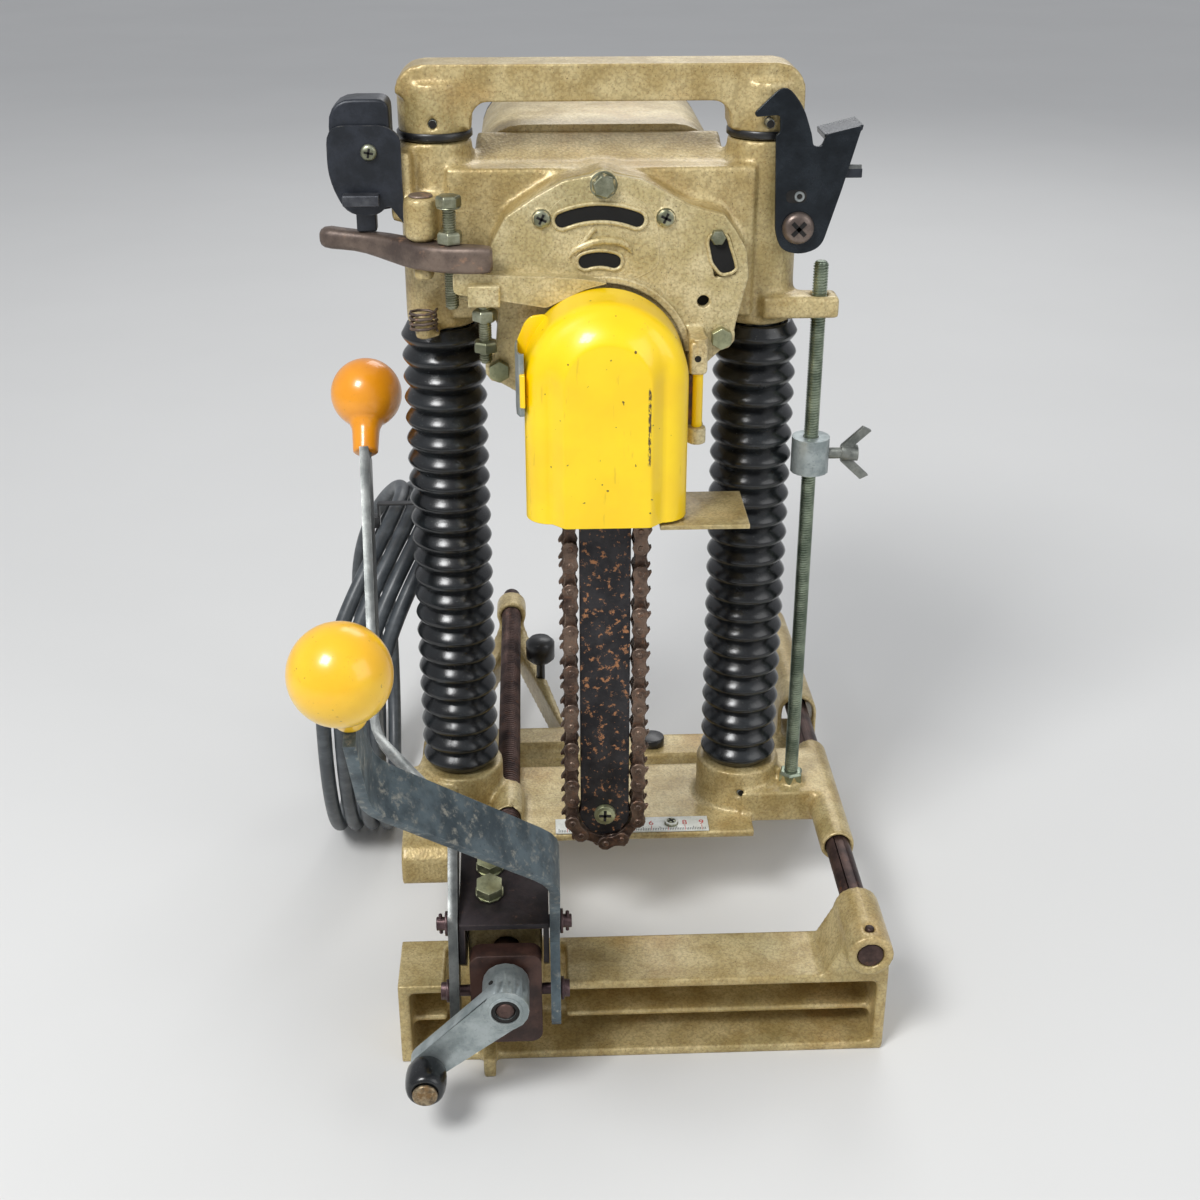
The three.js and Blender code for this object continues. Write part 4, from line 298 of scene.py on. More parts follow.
def panel(name, outline, depth, y, bevel, segments, body, look, *stands_for):
    """A flat piece that stands across the machine: an outline of X and Z, from this Y towards the back."""
    put(prism(name, outline, depth, across_y(y), bevel, segments), body, look, *stands_for)


def box_piece(name, low, high, bevel):
    """A block between two corners in millimetres."""
    low, high = Vector(low), Vector(high)
    middle = (low + high) / 2
    half = (high - low) / 2
    work = bmesh.new()
    bmesh.ops.create_cube(work, size=2)
    mesh = mesh_of(name, work)
    size = Matrix.Diagonal((half.x * MM, half.y * MM, half.z * MM, 1))
    mesh.transform(Matrix.Translation(at(*middle)) @ size)
    return soften(finish_mesh(name, mesh), bevel)


def put(piece, body, look, *stands_for, slot=None):
    """Gives a finished piece its look, its body and the solids that it stands for."""
    if not piece.data.materials:
        piece.data.materials.append(LOOK[look])
    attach(piece, body)
    if stands_for:
        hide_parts(*stands_for)
    slot = slot or SLOT_OF.get(look)
    return piece


BODY_OF = {node: body for body, nodes in frame["record"]["behaviour"]["bodies"].items() for node in nodes}


def merged_copy(node):
    """A clean copy of a CAD node's mesh in a new object, with its flat faces joined up."""
    work = bmesh.new()
    work.from_mesh(frame["nodes"][node].data)
    bmesh.ops.remove_doubles(work, verts=work.verts, dist=0.00001)
    flat = math.radians(0.4)
    bmesh.ops.dissolve_limit(work, angle_limit=flat, verts=work.verts, edges=work.edges, delimit=set())
    return finish_mesh("fine_" + node, mesh_of("fine_" + node, work))


def machined(node, look, bevel, segments=2, degrees=50, slot=None):
    """A machined or bent part: the solid's own shape with softened edges."""
    piece = soften(merged_copy(node), bevel, segments, degrees)
    return put(piece, BODY_OF[node], look, node, slot=slot)


def cast(node, look, voxel=1.5, rounds=6, keep=0.5):
    """A casting: the solid remeshed evenly and relaxed, so that its corners and junctions get fillets."""
    piece = merged_copy(node)
    remesh = piece.modifiers.new("even mesh", "REMESH")
    remesh.mode = "VOXEL"
    remesh.voxel_size = voxel * MM
    remesh.use_smooth_shade = True
    relax = piece.modifiers.new("fillets", "SMOOTH")
    relax.factor = 0.5
    relax.iterations = rounds
    fewer = piece.modifiers.new("fewer faces", "DECIMATE")
    fewer.ratio = keep
    put(piece, BODY_OF[node], look, node)


# Materials
def colour(red, green, blue):
    """A display colour, each channel from 0 to 255, as linear light."""
    linear = []
    for channel in (red, green, blue):
        share = channel / 255
        linear.append(share / 12.92 if share <= 0.04045 else ((share + 0.055) / 1.055) ** 2.4)
    return (*linear, 1)


class Graph:
    """A material's nodes, ending in one Principled shader. Patterns follow the piece's own coordinates."""

    def __init__(self, name, **settings):
        self.material = bpy.data.materials.new(name)
        self.material.use_nodes = True
        self.tree = self.material.node_tree
        self.shader = self.tree.nodes["Principled BSDF"]
        self.coordinates = self.tree.nodes.new("ShaderNodeTexCoord").outputs["Object"]
        for key, value in settings.items():
            self.set(key, value)

    def set(self, key, value):
        socket = self.shader.inputs[key.replace("_", " ")]
        self.feed(value, socket)

    def feed(self, value, socket):
        if isinstance(value, bpy.types.NodeSocket):
            self.tree.links.new(value, socket)
        else:
            socket.default_value = value

    def node(self, kind, inputs, output=0, **settings):
        made = self.tree.nodes.new(kind)
        for key, value in settings.items():
            setattr(made, key, value)
        for key, value in inputs.items():
            self.feed(value, made.inputs[key])
        return made.outputs[output]

    def stretched(self, stretch, shift):
        inputs = {"Vector": self.coordinates, "Scale": stretch, "Location": shift}
        return self.node("ShaderNodeMapping", inputs)

    def noise(self, scale, detail=4, rough=0.55, stretch=(1, 1, 1), shift=(0, 0, 0)):
        mapped = self.stretched(stretch, shift)
        inputs = {"Vector": mapped, "Scale": scale, "Detail": detail, "Roughness": rough}
        return self.node("ShaderNodeTexNoise", inputs)

    def cells(self, scale, smoothness):
        """Soft cells, as of hammered paint."""
        mapped = self.stretched((1, 1, 1), (0, 0, 0))
        inputs = {"Vector": mapped, "Scale": scale, "Smoothness": smoothness}
        return self.node("ShaderNodeTexVoronoi", inputs, feature="SMOOTH_F1")

    def band(self, value, low, high):
        inputs = {"Value": value, "From Min": low, "From Max": high}
        return self.node("ShaderNodeMapRange", inputs, interpolation_type="SMOOTHSTEP")

    def clouds(self, low, high, scale, **noise):
        """A mask of soft spots: the band of a noise between two of its values."""
        return self.band(self.noise(scale, **noise), low, high)

    def scaled(self, value, low, high):
        inputs = {"Value": value, "To Min": low, "To Max": high}
        return self.node("ShaderNodeMapRange", inputs)

    def maths(self, operation, a, b=0.5):
        return self.node("ShaderNodeMath", {0: a, 1: b}, operation=operation)

    def mix(self, share, a, b):
        return self.node("ShaderNodeMix", {0: share, 6: a, 7: b}, output=2, data_type="RGBA")

    def layer(self, tint, mask, share, rgb):
        """The tint with a display colour over it, this much of it where the mask is full."""
        return self.mix(self.maths("MULTIPLY", mask, share), tint, colour(*rgb))

    def edges(self, radius, low, high):
        """A mask of the piece's outer edges and inner corners."""
        soft = self.node("ShaderNodeBevel", {"Radius": radius * MM}, samples=4)
        normal = self.node("ShaderNodeNewGeometry", {}, output="Normal")
        inputs = {0: soft, 1: normal}
        alike = self.node("ShaderNodeVectorMath", inputs, output="Value", operation="DOT_PRODUCT")
        return self.band(self.maths("SUBTRACT", 1, alike), low, high)

    def rubbed(self, radius, low, high, clouds):
        """A mask of a piece's edges and inner corners, in patches."""
        return self.maths("MULTIPLY", self.edges(radius, low, high), clouds)

    def relief(self, height, distance, strength):
        inputs = {"Height": height, "Distance": distance * MM, "Strength": strength}
        return self.node("ShaderNodeBump", inputs)

    def along(self, axis):
        return self.node("ShaderNodeSeparateXYZ", {0: self.coordinates}, output=axis)

    def done(self, tint, bumps, roughness=None):
        """The finished material. Without a roughness the shader keeps its own."""
        self.set("Base_Color", tint)
        self.set("Normal", bumps)
        if roughness is not None:
            self.set("Roughness", roughness)
        return self.material


def gold_paint(name, light=(208, 190, 140), deep=(176, 154, 100), shade=(146, 138, 92)):
    graph = Graph(name, Metallic=0.3, Coat_Weight=0.3, Coat_Roughness=0.22)
    cloud = graph.noise(55, detail=5)
    tint = graph.mix(graph.band(cloud, 0.35, 0.68), colour(*deep), colour(*light))
    # Painted shade: the greenish tone of the gold's shaded faces, laid over it in random cloud patches
    shade_patches = graph.clouds(0.5, 0.75, 16, detail=3, shift=(3, 1, 0))
    tint = graph.layer(tint, shade_patches, 0.4, shade)
    # Partly the paint's orange tint, partly painted shade: the orange tone of shadowed sides near bosses, in
    # random cloud patches
    warm_shade_patches = graph.clouds(0.54, 0.74, 21, detail=4, shift=(0, 2, 5))
    tint = graph.layer(tint, warm_shade_patches, 0.26, (188, 138, 66))
    hammer = graph.cells(620, 0.6)
    tint = graph.layer(tint, graph.band(hammer, 0.35, 0.75), 0.28, (96, 78, 42))
    grain = graph.clouds(0.54, 0.62, 900, detail=3, rough=0.7)
    tint = graph.layer(tint, grain, 0.42, (140, 104, 56))
    specks = graph.clouds(0.66, 0.70, 1300, detail=2, shift=(1, 0, 6))
    tint = graph.layer(tint, specks, 0.7, (62, 46, 28))
    chips = graph.clouds(0.70, 0.73, 240, detail=6, rough=0.7, shift=(0, 4, 2))
    tint = graph.mix(chips, tint, colour(84, 66, 48))
    # Partly rubbed paint, partly painted highlight: edges and inner corners lightened in patches to the
    # near-white of lit faces
    pale_edges = graph.rubbed(1.6, 0.02, 0.22, graph.clouds(0.35, 0.6, 120, detail=4))
    tint = graph.layer(tint, pale_edges, 0.6, (232, 218, 176))
    graph.set("Base_Color", tint)
    graph.set("Roughness", graph.scaled(graph.noise(300, detail=3), 0.34, 0.56))
    dents = graph.maths("MULTIPLY", hammer, 0.8)
    bumps = graph.maths("ADD", dents, graph.maths("MULTIPLY", graph.noise(1300), 0.35))
    graph.set("Normal", graph.relief(bumps, 0.35, 0.55))
    return graph.material


def yellow_paint():
    graph = Graph("yellow_paint", Coat_Weight=0.35, Coat_Roughness=0.08, Roughness=0.34)
    tint = graph.mix(graph.clouds(0.3, 0.7, 30, detail=3), colour(248, 205, 0), colour(254, 216, 0))
    scuff = graph.clouds(0.66, 0.72, 420, detail=4, stretch=(1, 1, 0.12))
    tint = graph.layer(tint, scuff, 0.3, (190, 150, 20))
    dots = graph.clouds(0.755, 0.775, 330, detail=1, shift=(7, 0, 2))
    tint = graph.mix(dots, tint, colour(90, 62, 20))
    # A scratch to bare metal down the panel's right edge
    across = graph.maths("ABSOLUTE", graph.maths("SUBTRACT", graph.along("X"), 0.0205))
    near = graph.band(across, 0.0011, 0.0004)
    low = graph.band(graph.along("Z"), 0.3165, 0.3185)
    high = graph.band(graph.along("Z"), 0.3585, 0.3565)
    broken = graph.clouds(0.46, 0.5, 900, detail=5, rough=0.8, stretch=(1, 1, 0.35))
    ends = graph.maths("MULTIPLY", low, high)
    scratch = graph.maths("MULTIPLY", graph.maths("MULTIPLY", near, broken), ends)
    tint = graph.mix(scratch, tint, colour(66, 44, 26))
    rim = graph.rubbed(0.8, 0.1, 0.4, graph.clouds(0.56, 0.62, 260, detail=5))
    tint = graph.layer(tint, rim, 0.7, (120, 86, 30))
    return graph.done(tint, graph.relief(graph.noise(180, detail=2), 0.12, 0.25))


def ball_plastic(name, light, deep):
    graph = Graph(name, Coat_Weight=0.5, Coat_Roughness=0.12, Roughness=0.3, IOR=1.5)
    tint = graph.mix(graph.clouds(0.35, 0.7, 22, detail=4), colour(*light), colour(*deep))
    wear = graph.clouds(0.62, 0.70, 260, detail=5, rough=0.7)
    tint = graph.layer(tint, wear, 0.35, (176, 118, 24))
    dirt = graph.clouds(0.70, 0.74, 520, detail=3, shift=(2, 2, 2))
    tint = graph.layer(tint, dirt, 0.6, (120, 84, 30))
    return graph.done(tint, graph.relief(graph.noise(500, detail=3), 0.1, 0.2))


def rubber(name, base, dust, roughness=(0.26, 0.46), share=0.22):
    graph = Graph(name, Coat_Weight=0.2, Coat_Roughness=0.25, IOR=1.5)
    film = graph.clouds(0.42, 0.72, 70, detail=5, stretch=(1, 1, 2))
    tint = graph.mix(graph.maths("MULTIPLY", film, share), colour(*base), colour(*dust))
    grit = graph.clouds(0.68, 0.72, 1400, detail=2)
    tint = graph.layer(tint, grit, 0.4, (120, 124, 118))
    bumps = graph.relief(graph.noise(900, detail=3), 0.12, 0.35)
    return graph.done(tint, bumps, graph.scaled(graph.noise(160, detail=4), *roughness))


def metal(name, light, deep, rust=None, rust_share=None, shine=None, metallic=0.9,
          worn=None, depth=0.15, scale=70, patches=130):
    """A metal or worn dark paint, with rust in patches, a rubbed colour on its edges and a fine relief."""
    graph = Graph(name, Metallic=metallic)
    cloud = graph.clouds(0.35, 0.68, scale, detail=6, rough=0.65)
    tint = graph.mix(cloud, colour(*deep), colour(*light))
    spots = graph.noise(700, detail=3, rough=0.7)
    tint = graph.layer(tint, graph.band(spots, 0.55, 0.75), 0.35, [c * 0.45 for c in deep])
    rough = graph.scaled(graph.noise(210, detail=5), *shine)
    if rust:
        patch = graph.band(graph.noise(patches, detail=8, rough=0.72, shift=(5, 2, 1)), *rust_share)
        pale_rust = [min(255, c * 1.35) for c in rust]
        crust = graph.mix(graph.noise(900, detail=4), colour(*rust), colour(*pale_rust))
        tint = graph.mix(patch, tint, crust)
        rough = graph.maths("MAXIMUM", rough, graph.maths("MULTIPLY", patch, 0.85))
    if worn:
        pale_edges = graph.rubbed(1.0, 0.04, 0.3, graph.clouds(0.4, 0.6, 200, detail=5))
        tint = graph.layer(tint, pale_edges, 0.7, worn)
    bumps = graph.relief(graph.noise(800, detail=5, rough=0.65), depth, 0.5)
    return graph.done(tint, bumps, rough)


def strap_metal():
    """Blued strap iron with a pale bloom of worn spots."""
    graph = Graph("strap_iron", Metallic=0.35)
    cloud = graph.clouds(0.35, 0.68, 60, detail=6, rough=0.6)
    tint = graph.mix(cloud, colour(58, 70, 76), colour(96, 110, 116))
    bloom = graph.clouds(0.5, 0.7, 230, detail=6, rough=0.7)
    bloom = graph.maths("MULTIPLY", bloom, graph.clouds(0.35, 0.65, 38, detail=3, shift=(1, 1, 3)))
    tint = graph.layer(tint, bloom, 0.75, (176, 172, 158))
    spots = graph.clouds(0.62, 0.7, 520, detail=4, shift=(4, 0, 0))
    tint = graph.layer(tint, spots, 0.45, (44, 50, 54))
    pale_edges = graph.rubbed(1.0, 0.03, 0.25, graph.clouds(0.4, 0.6, 160, detail=4))
    tint = graph.layer(tint, pale_edges, 0.4, (150, 156, 154))
    bumps = graph.relief(graph.noise(900, detail=4), 0.15, 0.5)
    return graph.done(tint, bumps, graph.scaled(graph.noise(300, detail=4), 0.38, 0.62))


# The metals name their light and deep colour, then their rust, its band of noise, the roughness and metalness
LOOK = {
    "gold": gold_paint("gold_hammer_paint"),
    "gold_plate": gold_paint("gold_cover_paint", (216, 202, 158), (188, 172, 122), (166, 158, 116)),
    "yellow": yellow_paint(),
    "ball_front": ball_plastic("ball_plastic_front", (250, 204, 44), (240, 182, 26)),
    "ball_rear": ball_plastic("ball_plastic_rear", (242, 158, 24), (226, 138, 14)),
    "bellows": rubber("bellows_rubber", (13, 15, 17), (58, 66, 70), (0.17, 0.32), 0.2),
    "rubber": rubber("moulded_rubber", (20, 20, 21), (66, 66, 64)),
    "cord": rubber("cord_rubber", (58, 63, 67), (96, 102, 106), (0.36, 0.55), 0.5),
    "black": metal("black_paint", (44, 48, 56), (26, 30, 36), (92, 74, 56), (0.68, 0.74), (0.3, 0.5), 0.25,
        worn=(120, 118, 112)),
    "rust": metal("rusty_iron", (110, 86, 70), (66, 50, 42), (104, 62, 38), (0.5, 0.66), (0.5, 0.75), 0.55,
        depth=0.3, worn=(150, 132, 116)),
    "brown": metal("brown_iron", (78, 54, 46), (50, 34, 30), (98, 66, 50), (0.58, 0.74), (0.32, 0.55), 0.35,
        worn=(150, 118, 100)),
    "bracket": metal("bracket_iron", (50, 42, 44), (30, 26, 29), (84, 62, 52), (0.6, 0.76), (0.3, 0.5), 0.4,
        worn=(120, 104, 96)),
    "forged": metal("forged_iron", (128, 112, 100), (84, 72, 66), (150, 116, 92), (0.56, 0.78), (0.36, 0.56),
        0.5, worn=(176, 156, 144), depth=0.2, scale=45),
    "pin": metal("pin_steel", (104, 84, 84), (66, 50, 52), (110, 78, 64), (0.58, 0.74), (0.3, 0.5), 0.75,
        worn=(168, 150, 148)),
    "latch_head": metal("latch_screw_steel", (142, 128, 118), (100, 88, 82), (112, 88, 74), (0.6, 0.74),
        (0.26, 0.42), 0.75, worn=(190, 178, 168)),
    "knob_end": metal("knob_end", (176, 158, 128), (96, 82, 64), (120, 98, 70), (0.5, 0.62), (0.35, 0.55),
        0.8, depth=0.3, scale=420),
    "arm": metal("lever_steel", (122, 124, 122), (86, 89, 88), (84, 78, 70), (0.58, 0.74), (0.3, 0.48), 0.75,
        worn=(190, 194, 190)),
    "chrome_black": metal(
        "glossy_black", (38, 44, 50), (22, 27, 32), shine=(0.16, 0.3), metallic=0.5, worn=(96, 104, 108),
    ),
    "lip": metal("worn_black_edge", (92, 94, 98), (58, 60, 66), (110, 92, 76), (0.66, 0.74), (0.26, 0.42),
        0.6, worn=(150, 150, 148)),
    "chain": metal("chain_iron", (124, 104, 90), (64, 50, 44), (112, 82, 64), (0.5, 0.72), (0.32, 0.56), 0.7,
        depth=0.22, worn=(188, 172, 156), patches=260),
    "bar": metal("bar_iron", (56, 54, 56), (34, 33, 36), (150, 108, 76), (0.56, 0.62), (0.35, 0.6), 0.5,
        depth=0.2, worn=(140, 120, 104), patches=240),
    "bright": metal("bright_steel", (178, 182, 180), (132, 138, 138), (96, 80, 62), (0.66, 0.74),
        (0.28, 0.45)),
    "grey": metal("cast_grey", (172, 180, 180), (132, 142, 142), (96, 92, 80), (0.66, 0.75), (0.34, 0.52),
        0.6, worn=(214, 218, 214)),
    "zinc": metal("zinc_plate", (172, 174, 140), (122, 126, 98), (104, 84, 54), (0.62, 0.72), (0.3, 0.5),
        worn=(206, 206, 184)),
    "dark": metal("dark_rod", (98, 78, 72), (60, 48, 46), (104, 70, 52), (0.56, 0.72), (0.34, 0.55), 0.8),
    "copper": metal("copper_rust", (196, 132, 84), (140, 84, 50), (104, 66, 44), (0.6, 0.72), (0.32, 0.5)),
    "wing": metal("wing_metal", (148, 150, 144), (96, 100, 96), (86, 78, 64), (0.6, 0.72), (0.36, 0.55), 0.8,
        worn=(200, 200, 192)),
    "strap": strap_metal(),
    "rod": metal("threaded_rod", (168, 178, 158), (112, 124, 108), (104, 96, 72), (0.64, 0.74), (0.28, 0.45)),
    "bolt": metal("olive_bolt", (170, 172, 150), (112, 114, 92), (110, 84, 58), (0.62, 0.72), (0.3, 0.48),
        worn=(206, 206, 186)),
    "nose": metal("brass_zinc", (200, 204, 168), (150, 154, 116), (110, 96, 60), (0.66, 0.74), (0.28, 0.42)),
    # Painted shade: the dark of screw recesses, slots and hole floors
    "slot": metal("painted_recess_shade", (44, 42, 40), (24, 23, 22), shine=(0.6, 0.8), metallic=0.4),
    # Painted shade: the near-black inside of openings and holes
    "void": metal("painted_opening_shade", (12, 12, 12), (7, 7, 7), shine=(0.85, 0.95), metallic=0.0),
    "ink": metal("black_ink", (28, 28, 30), (20, 20, 22), shine=(0.5, 0.7), metallic=0.0),
    "red_ink": metal("red_ink", (196, 52, 42), (170, 40, 34), shine=(0.5, 0.7), metallic=0.0),
    "plate": metal("white_plate", (232, 234, 228), (206, 208, 198), (150, 140, 116), (0.7, 0.76),
        (0.35, 0.55), 0.1, depth=0.04),
}

# The material slot of each look, unless a piece names another
SLOT_OF = {look: slot for slot, looks in {
    "gold_paint": "gold gold_plate",
    "yellow_paint": "yellow",
    "ball_plastic": "ball_front ball_rear",
    "black_rubber": "bellows rubber",
    "black_paint": "black bracket chrome_black lip",
    "brown_paint": "brown",
    "rusty_iron": "rust forged pin knob_end chain",
    "bright_steel": "bright grey arm",
    "dark_steel": "dark bar strap",
    "zinc_steel": "zinc rod bolt nose latch_head",
    "rusty_copper": "copper wing",
    "white_plate": "plate",
}.items() for look in looks.split()}

# Mains lead: one cord from the strain relief behind the motor, down into the standing hank and on to the plug
CORD = {"radius": 4.5}
HANK = {
    "turns": 3.5, "pitch": 10.4, "right": -131.5, "y": 85, "half_depth": 88, "half_height": 113, "lean": 44,
}
TAIL = 64
PLUG = {"radius": 17, "length": 42, "pin_gap": 9.5}
GLAND = (-45, 184.6, 384)
LEAD_ROUTE = [
    GLAND, (-45.8, 206.1, 381.1), (-48.1, 224.5, 372.6), (-51.8, 239.4, 359.1), (-56.6, 249.4, 341.7),
    (-61.9, 253.5, 322.3), (-67.3, 251.2, 302.4), (-72.3, 242.9, 284.3), (-76.7, 229.6, 268.7),
    (-80, 213.5, 256.6), (-82.6, 195.1, 247.3), (-84.5, 175.6, 240.5), (-85.9, 155.3, 235.7),
    (-86.8, 135.1, 232.7), (-87.3, 114.6, 231), (-87.5, 94.4, 230.5),
]


def hank_point(run):
    """A point of the hank's centreline, by its run from the top of the first loop."""
    loop = TURN * (HANK["half_depth"] + HANK["half_height"]) / 2
    turns = min(max(run / loop, 0), HANK["turns"])
    extra = run - turns * loop
    angle = TURN / 4 - TURN * turns
    up = math.sin(angle)
    lean = HANK["lean"] * up * up if up > 0 else 0
    centre = HANK["half_height"] + CORD["radius"]
    x = HANK["right"] - HANK["pitch"] * turns + lean
    y = HANK["y"] - HANK["half_depth"] * math.cos(angle) + abs(extra)
    z = centre + HANK["half_height"] * up
    if extra > 0:
        share = min(extra / TAIL, 1)
        z += (PLUG["radius"] - CORD["radius"]) * share * share * (3 - 2 * share)
    return at(x, y, z)


def cord_path():
    lead = spline([at(*place) for place in LEAD_ROUTE], 6)
    loop = TURN * (HANK["half_depth"] + HANK["half_height"]) / 2
    whole = HANK["turns"] * loop + TAIL
    steps = 420
    hank = [hank_point(whole * i / steps) for i in range(steps + 1)]
    return lead + hank


def make_plug():
    end_x = HANK["right"] - HANK["pitch"] * HANK["turns"]
    start = HANK["y"] + TAIL
    profile = [(0, 0.3), (5.2, 0.3), (5.8, 1.2)]
    for i in range(5):
        radius, run = 0.5 * i, 2.6 * i
        profile += [(6.4 + radius, 3 + run), (6.4 + radius, 4.2 + run), (5.6 + radius, 4.8 + run)]
    profile += [
        (10.5, 18), (13.5, 21), (15.6, 23.5), (16.4, 25.5), (16.6, 28), (16.6, 39), (16.1, 41), (14.8, 42),
        (0, 42),
    ]
    place = (end_x, start, PLUG["radius"])
    body = ("carriage", "rubber", "mains_plug")
    pieces = [turned("plug_body", place, BACKWARDS, profile, *body, sides=56, degrees=60)]
    blade = [(0, 0), (2.4, 0), (2.4, 17), (2.1, 18.6), (1.2, 19.8), (0, 20)]
    for side, name in ((-1, "left"), (1, "right")):
        place = (end_x + side * PLUG["pin_gap"], start + PLUG["length"] - 1, PLUG["radius"])
        pieces.append(turned("plug_pin_" + name, place, BACKWARDS, blade, "carriage", "bright", sides=24))
    return pieces


def make_relief():
    profile = [(4.55, 0), (5.2, 0), (5.4, 1.5)]
    for i in range(6):
        run = 2.5 + 3.6 * i
        radius = 5.4 + 0.27 * i
        groove = radius - 0.55
        profile += [(radius, run), (radius, run + 2.1), (groove, run + 2.3), (groove, run + 3.3)]
    profile += [(7, 25.8), (9, 26), (9, 29.3), (8.4, 29.7), (0, 29.7)]
    body = ("head", "rubber", "strain_relief")
    return turned("cord_relief", GLAND, FORWARDS, profile, *body, sides=40, degrees=45)


cord_line = cord_path()
cord_piece = sweep("mains_cord", cord_line, lambda share: CORD["radius"], sides=20)
cord_piece.data.materials.append(LOOK["cord"])
plug_pieces = make_plug()
relief_piece = make_relief()
tie_piece = machined("cable_tie", "rubber", 0.7, 3, 40)
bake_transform(cord_piece)
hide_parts("cord_hank", "cord_lead")


# Bellows, and the return springs inside them
SPRING = {"radius": 14.4, "wire": 0.9, "curls": 7}
BELLOWS = {"low": 92.3, "top": 364.6, "ribs": 23, "crest": 22.5, "root": 18.1, "bore": 17}


def make_bellows(side, x):
    pitch = (BELLOWS["top"] - BELLOWS["low"]) / BELLOWS["ribs"]
    deep = BELLOWS["crest"] - BELLOWS["root"]
    profile = []
    for i in range(BELLOWS["ribs"]):
        for step in range(12):
            share = step / 12
            run = i + share
            swell = 1 - abs(2 * share - 1) ** 1.45
            if run > BELLOWS["ribs"] - 0.5:
                swell = 1 - 0.75 * (2 * share - 1)
            profile.append((BELLOWS["root"] + deep * swell, run * pitch))
    profile.append((BELLOWS["root"] + deep * 0.25, BELLOWS["ribs"] * pitch))
    profile.append((BELLOWS["bore"], BELLOWS["ribs"] * pitch))
    profile.append((BELLOWS["bore"], 0))
    profile.append(profile[0])
    name, foot, solid = "bellows_" + side, (x, 0, BELLOWS["low"]), side + "_bellows"
    piece = turned(name, foot, UP, profile, "carriage", "bellows", solid, sides=72, degrees=80)
    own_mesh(piece)


def make_return_spring(side, x):
    low, high = BELLOWS["low"] + SPRING["wire"], BELLOWS["top"] - 0.8
    steps = SPRING["curls"] * 28
    line = []
    for i in range(steps + 1):
        angle = TURN * SPRING["curls"] * i / steps
        across, back = SPRING["radius"] * math.cos(angle), SPRING["radius"] * math.sin(angle)
        line.append(at(x + across, back, low + (high - low) * i / steps))
    piece = sweep("spring_" + side, line, lambda share: SPRING["wire"], sides=8)
    put(piece, "carriage", "bright", side + "_return_spring")
    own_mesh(piece)


for side_name, side_x in (("left", -COLUMN_X), ("right", COLUMN_X)):
    make_bellows(side_name, side_x)
    make_return_spring(side_name, side_x)


# Fastener details
def thread(name, origin, axis, radius, pitch, length, depth, sides):
    """A screw thread as one helical surface: crest, crest, root and root for each turn."""
    across, up, way = basis_of(axis)
    shares = (0, 0, 1, 1)
    rows = int(4 * length / pitch)
    vertices = []
    for i in range(rows + 4):
        for j in range(sides):
            run = min(max((i / 4 + j / sides - 0.5) * pitch, 0), length)
            reach = (radius - depth * pitch * shares[i % 4]) * MM
            vertices.append(origin + way * run * MM + spoke(across, up, TURN * j / sides) * reach)
    faces = []
    for i in range(rows - 1):
        for j in range(sides):
            low = i * sides + j
            high = low + sides
            if j < sides - 1:
                faces.append((low, low + 1, high + 1, high))
            else:
                faces.append((low, (i + 4) * sides, (i + 5) * sides, high))
    return sharpen(make_object(name, vertices, faces), 35)


def pan_head(name, place, axis, radius, height, body, look, turn, *stands_for):
    """A domed cross-recess screw head that sits over a plain one."""
    dome = ((1, 0), (1, 0.35), (0.93, 0.66), (0.72, 0.9), (0.4, 1), (0, 1.02))
    profile = [(radius * wide, height * high) for wide, high in dome]
    turned(name, place, axis, profile, body, look, *stands_for, sides=32, degrees=70)
    across, up, way = basis_of(axis)
    first = spoke(across, up, turn)
    second = way.cross(first)
    half_long, half_short, half_deep = radius * 0.56 * MM, radius * 0.13 * MM, height * 0.2 * MM
    centre = at(*place) + way * height * 0.88 * MM
    faces = [(0, 1, 3, 2), (4, 6, 7, 5), (0, 4, 5, 1), (2, 3, 7, 6), (0, 2, 6, 4), (1, 5, 7, 3)]
    # The cross recess: two crossed dark boxes of painted shade
    for index, (long_way, short_way) in enumerate(((first, second), (second, first))):
        corners = []
        for a in (-1, 1):
            for b in (-1, 1):
                for c in (-1, 1):
                    corner = centre + long_way * a * half_long + short_way * b * half_short
                    corners.append(corner + way * c * half_deep)
        put(make_object(f"{name}_recess_{index}", corners, faces, smooth=False), body, "slot")


def hex_head(name, place, axis, across_flats, height, body, look, turn):
    """A chamfered six-sided head or nut."""
    across, up, way = basis_of(axis)
    reach = across_flats / math.sqrt(3)
    vertices = []
    levels = [(0, reach * 0.96), (height * 0.12, reach), (height * 0.8, reach), (height, reach * 0.86)]
    for run, radius in levels:
        centre = at(*place) + way * run * MM
        vertices += [centre + spoke(across, up, turn + TURN * i / 6) * radius * MM for i in range(6)]
    faces = [tuple(range(6)), tuple(range(18, 24)), *ring_faces(0, len(levels), 6)]
    put(soften(make_object(name, vertices, faces, smooth=False), 0.35, 2, 20), body, look)


# Chain cover: a pressed shell with a round shoulder and a raised panel
COVER = {
    "half": 41, "back": -52, "front": -90, "low": 284, "centre": 355, "shoulder": 13, "panel": 21.5,
    "panel_top": 380, "raise": 6.5, "flank": 6.6, "top_flank": 12, "wall": 1.8,
}


def eased(value, low, high):
    share = min(max((value - low) / (high - low), 0), 1)
    return share * share * (3 - 2 * share)


def arch_depth(x, z, half, centre):
    """How far inside an arch a point of its front lies."""
    return half - (math.hypot(x, z - centre) if z > centre else abs(x))


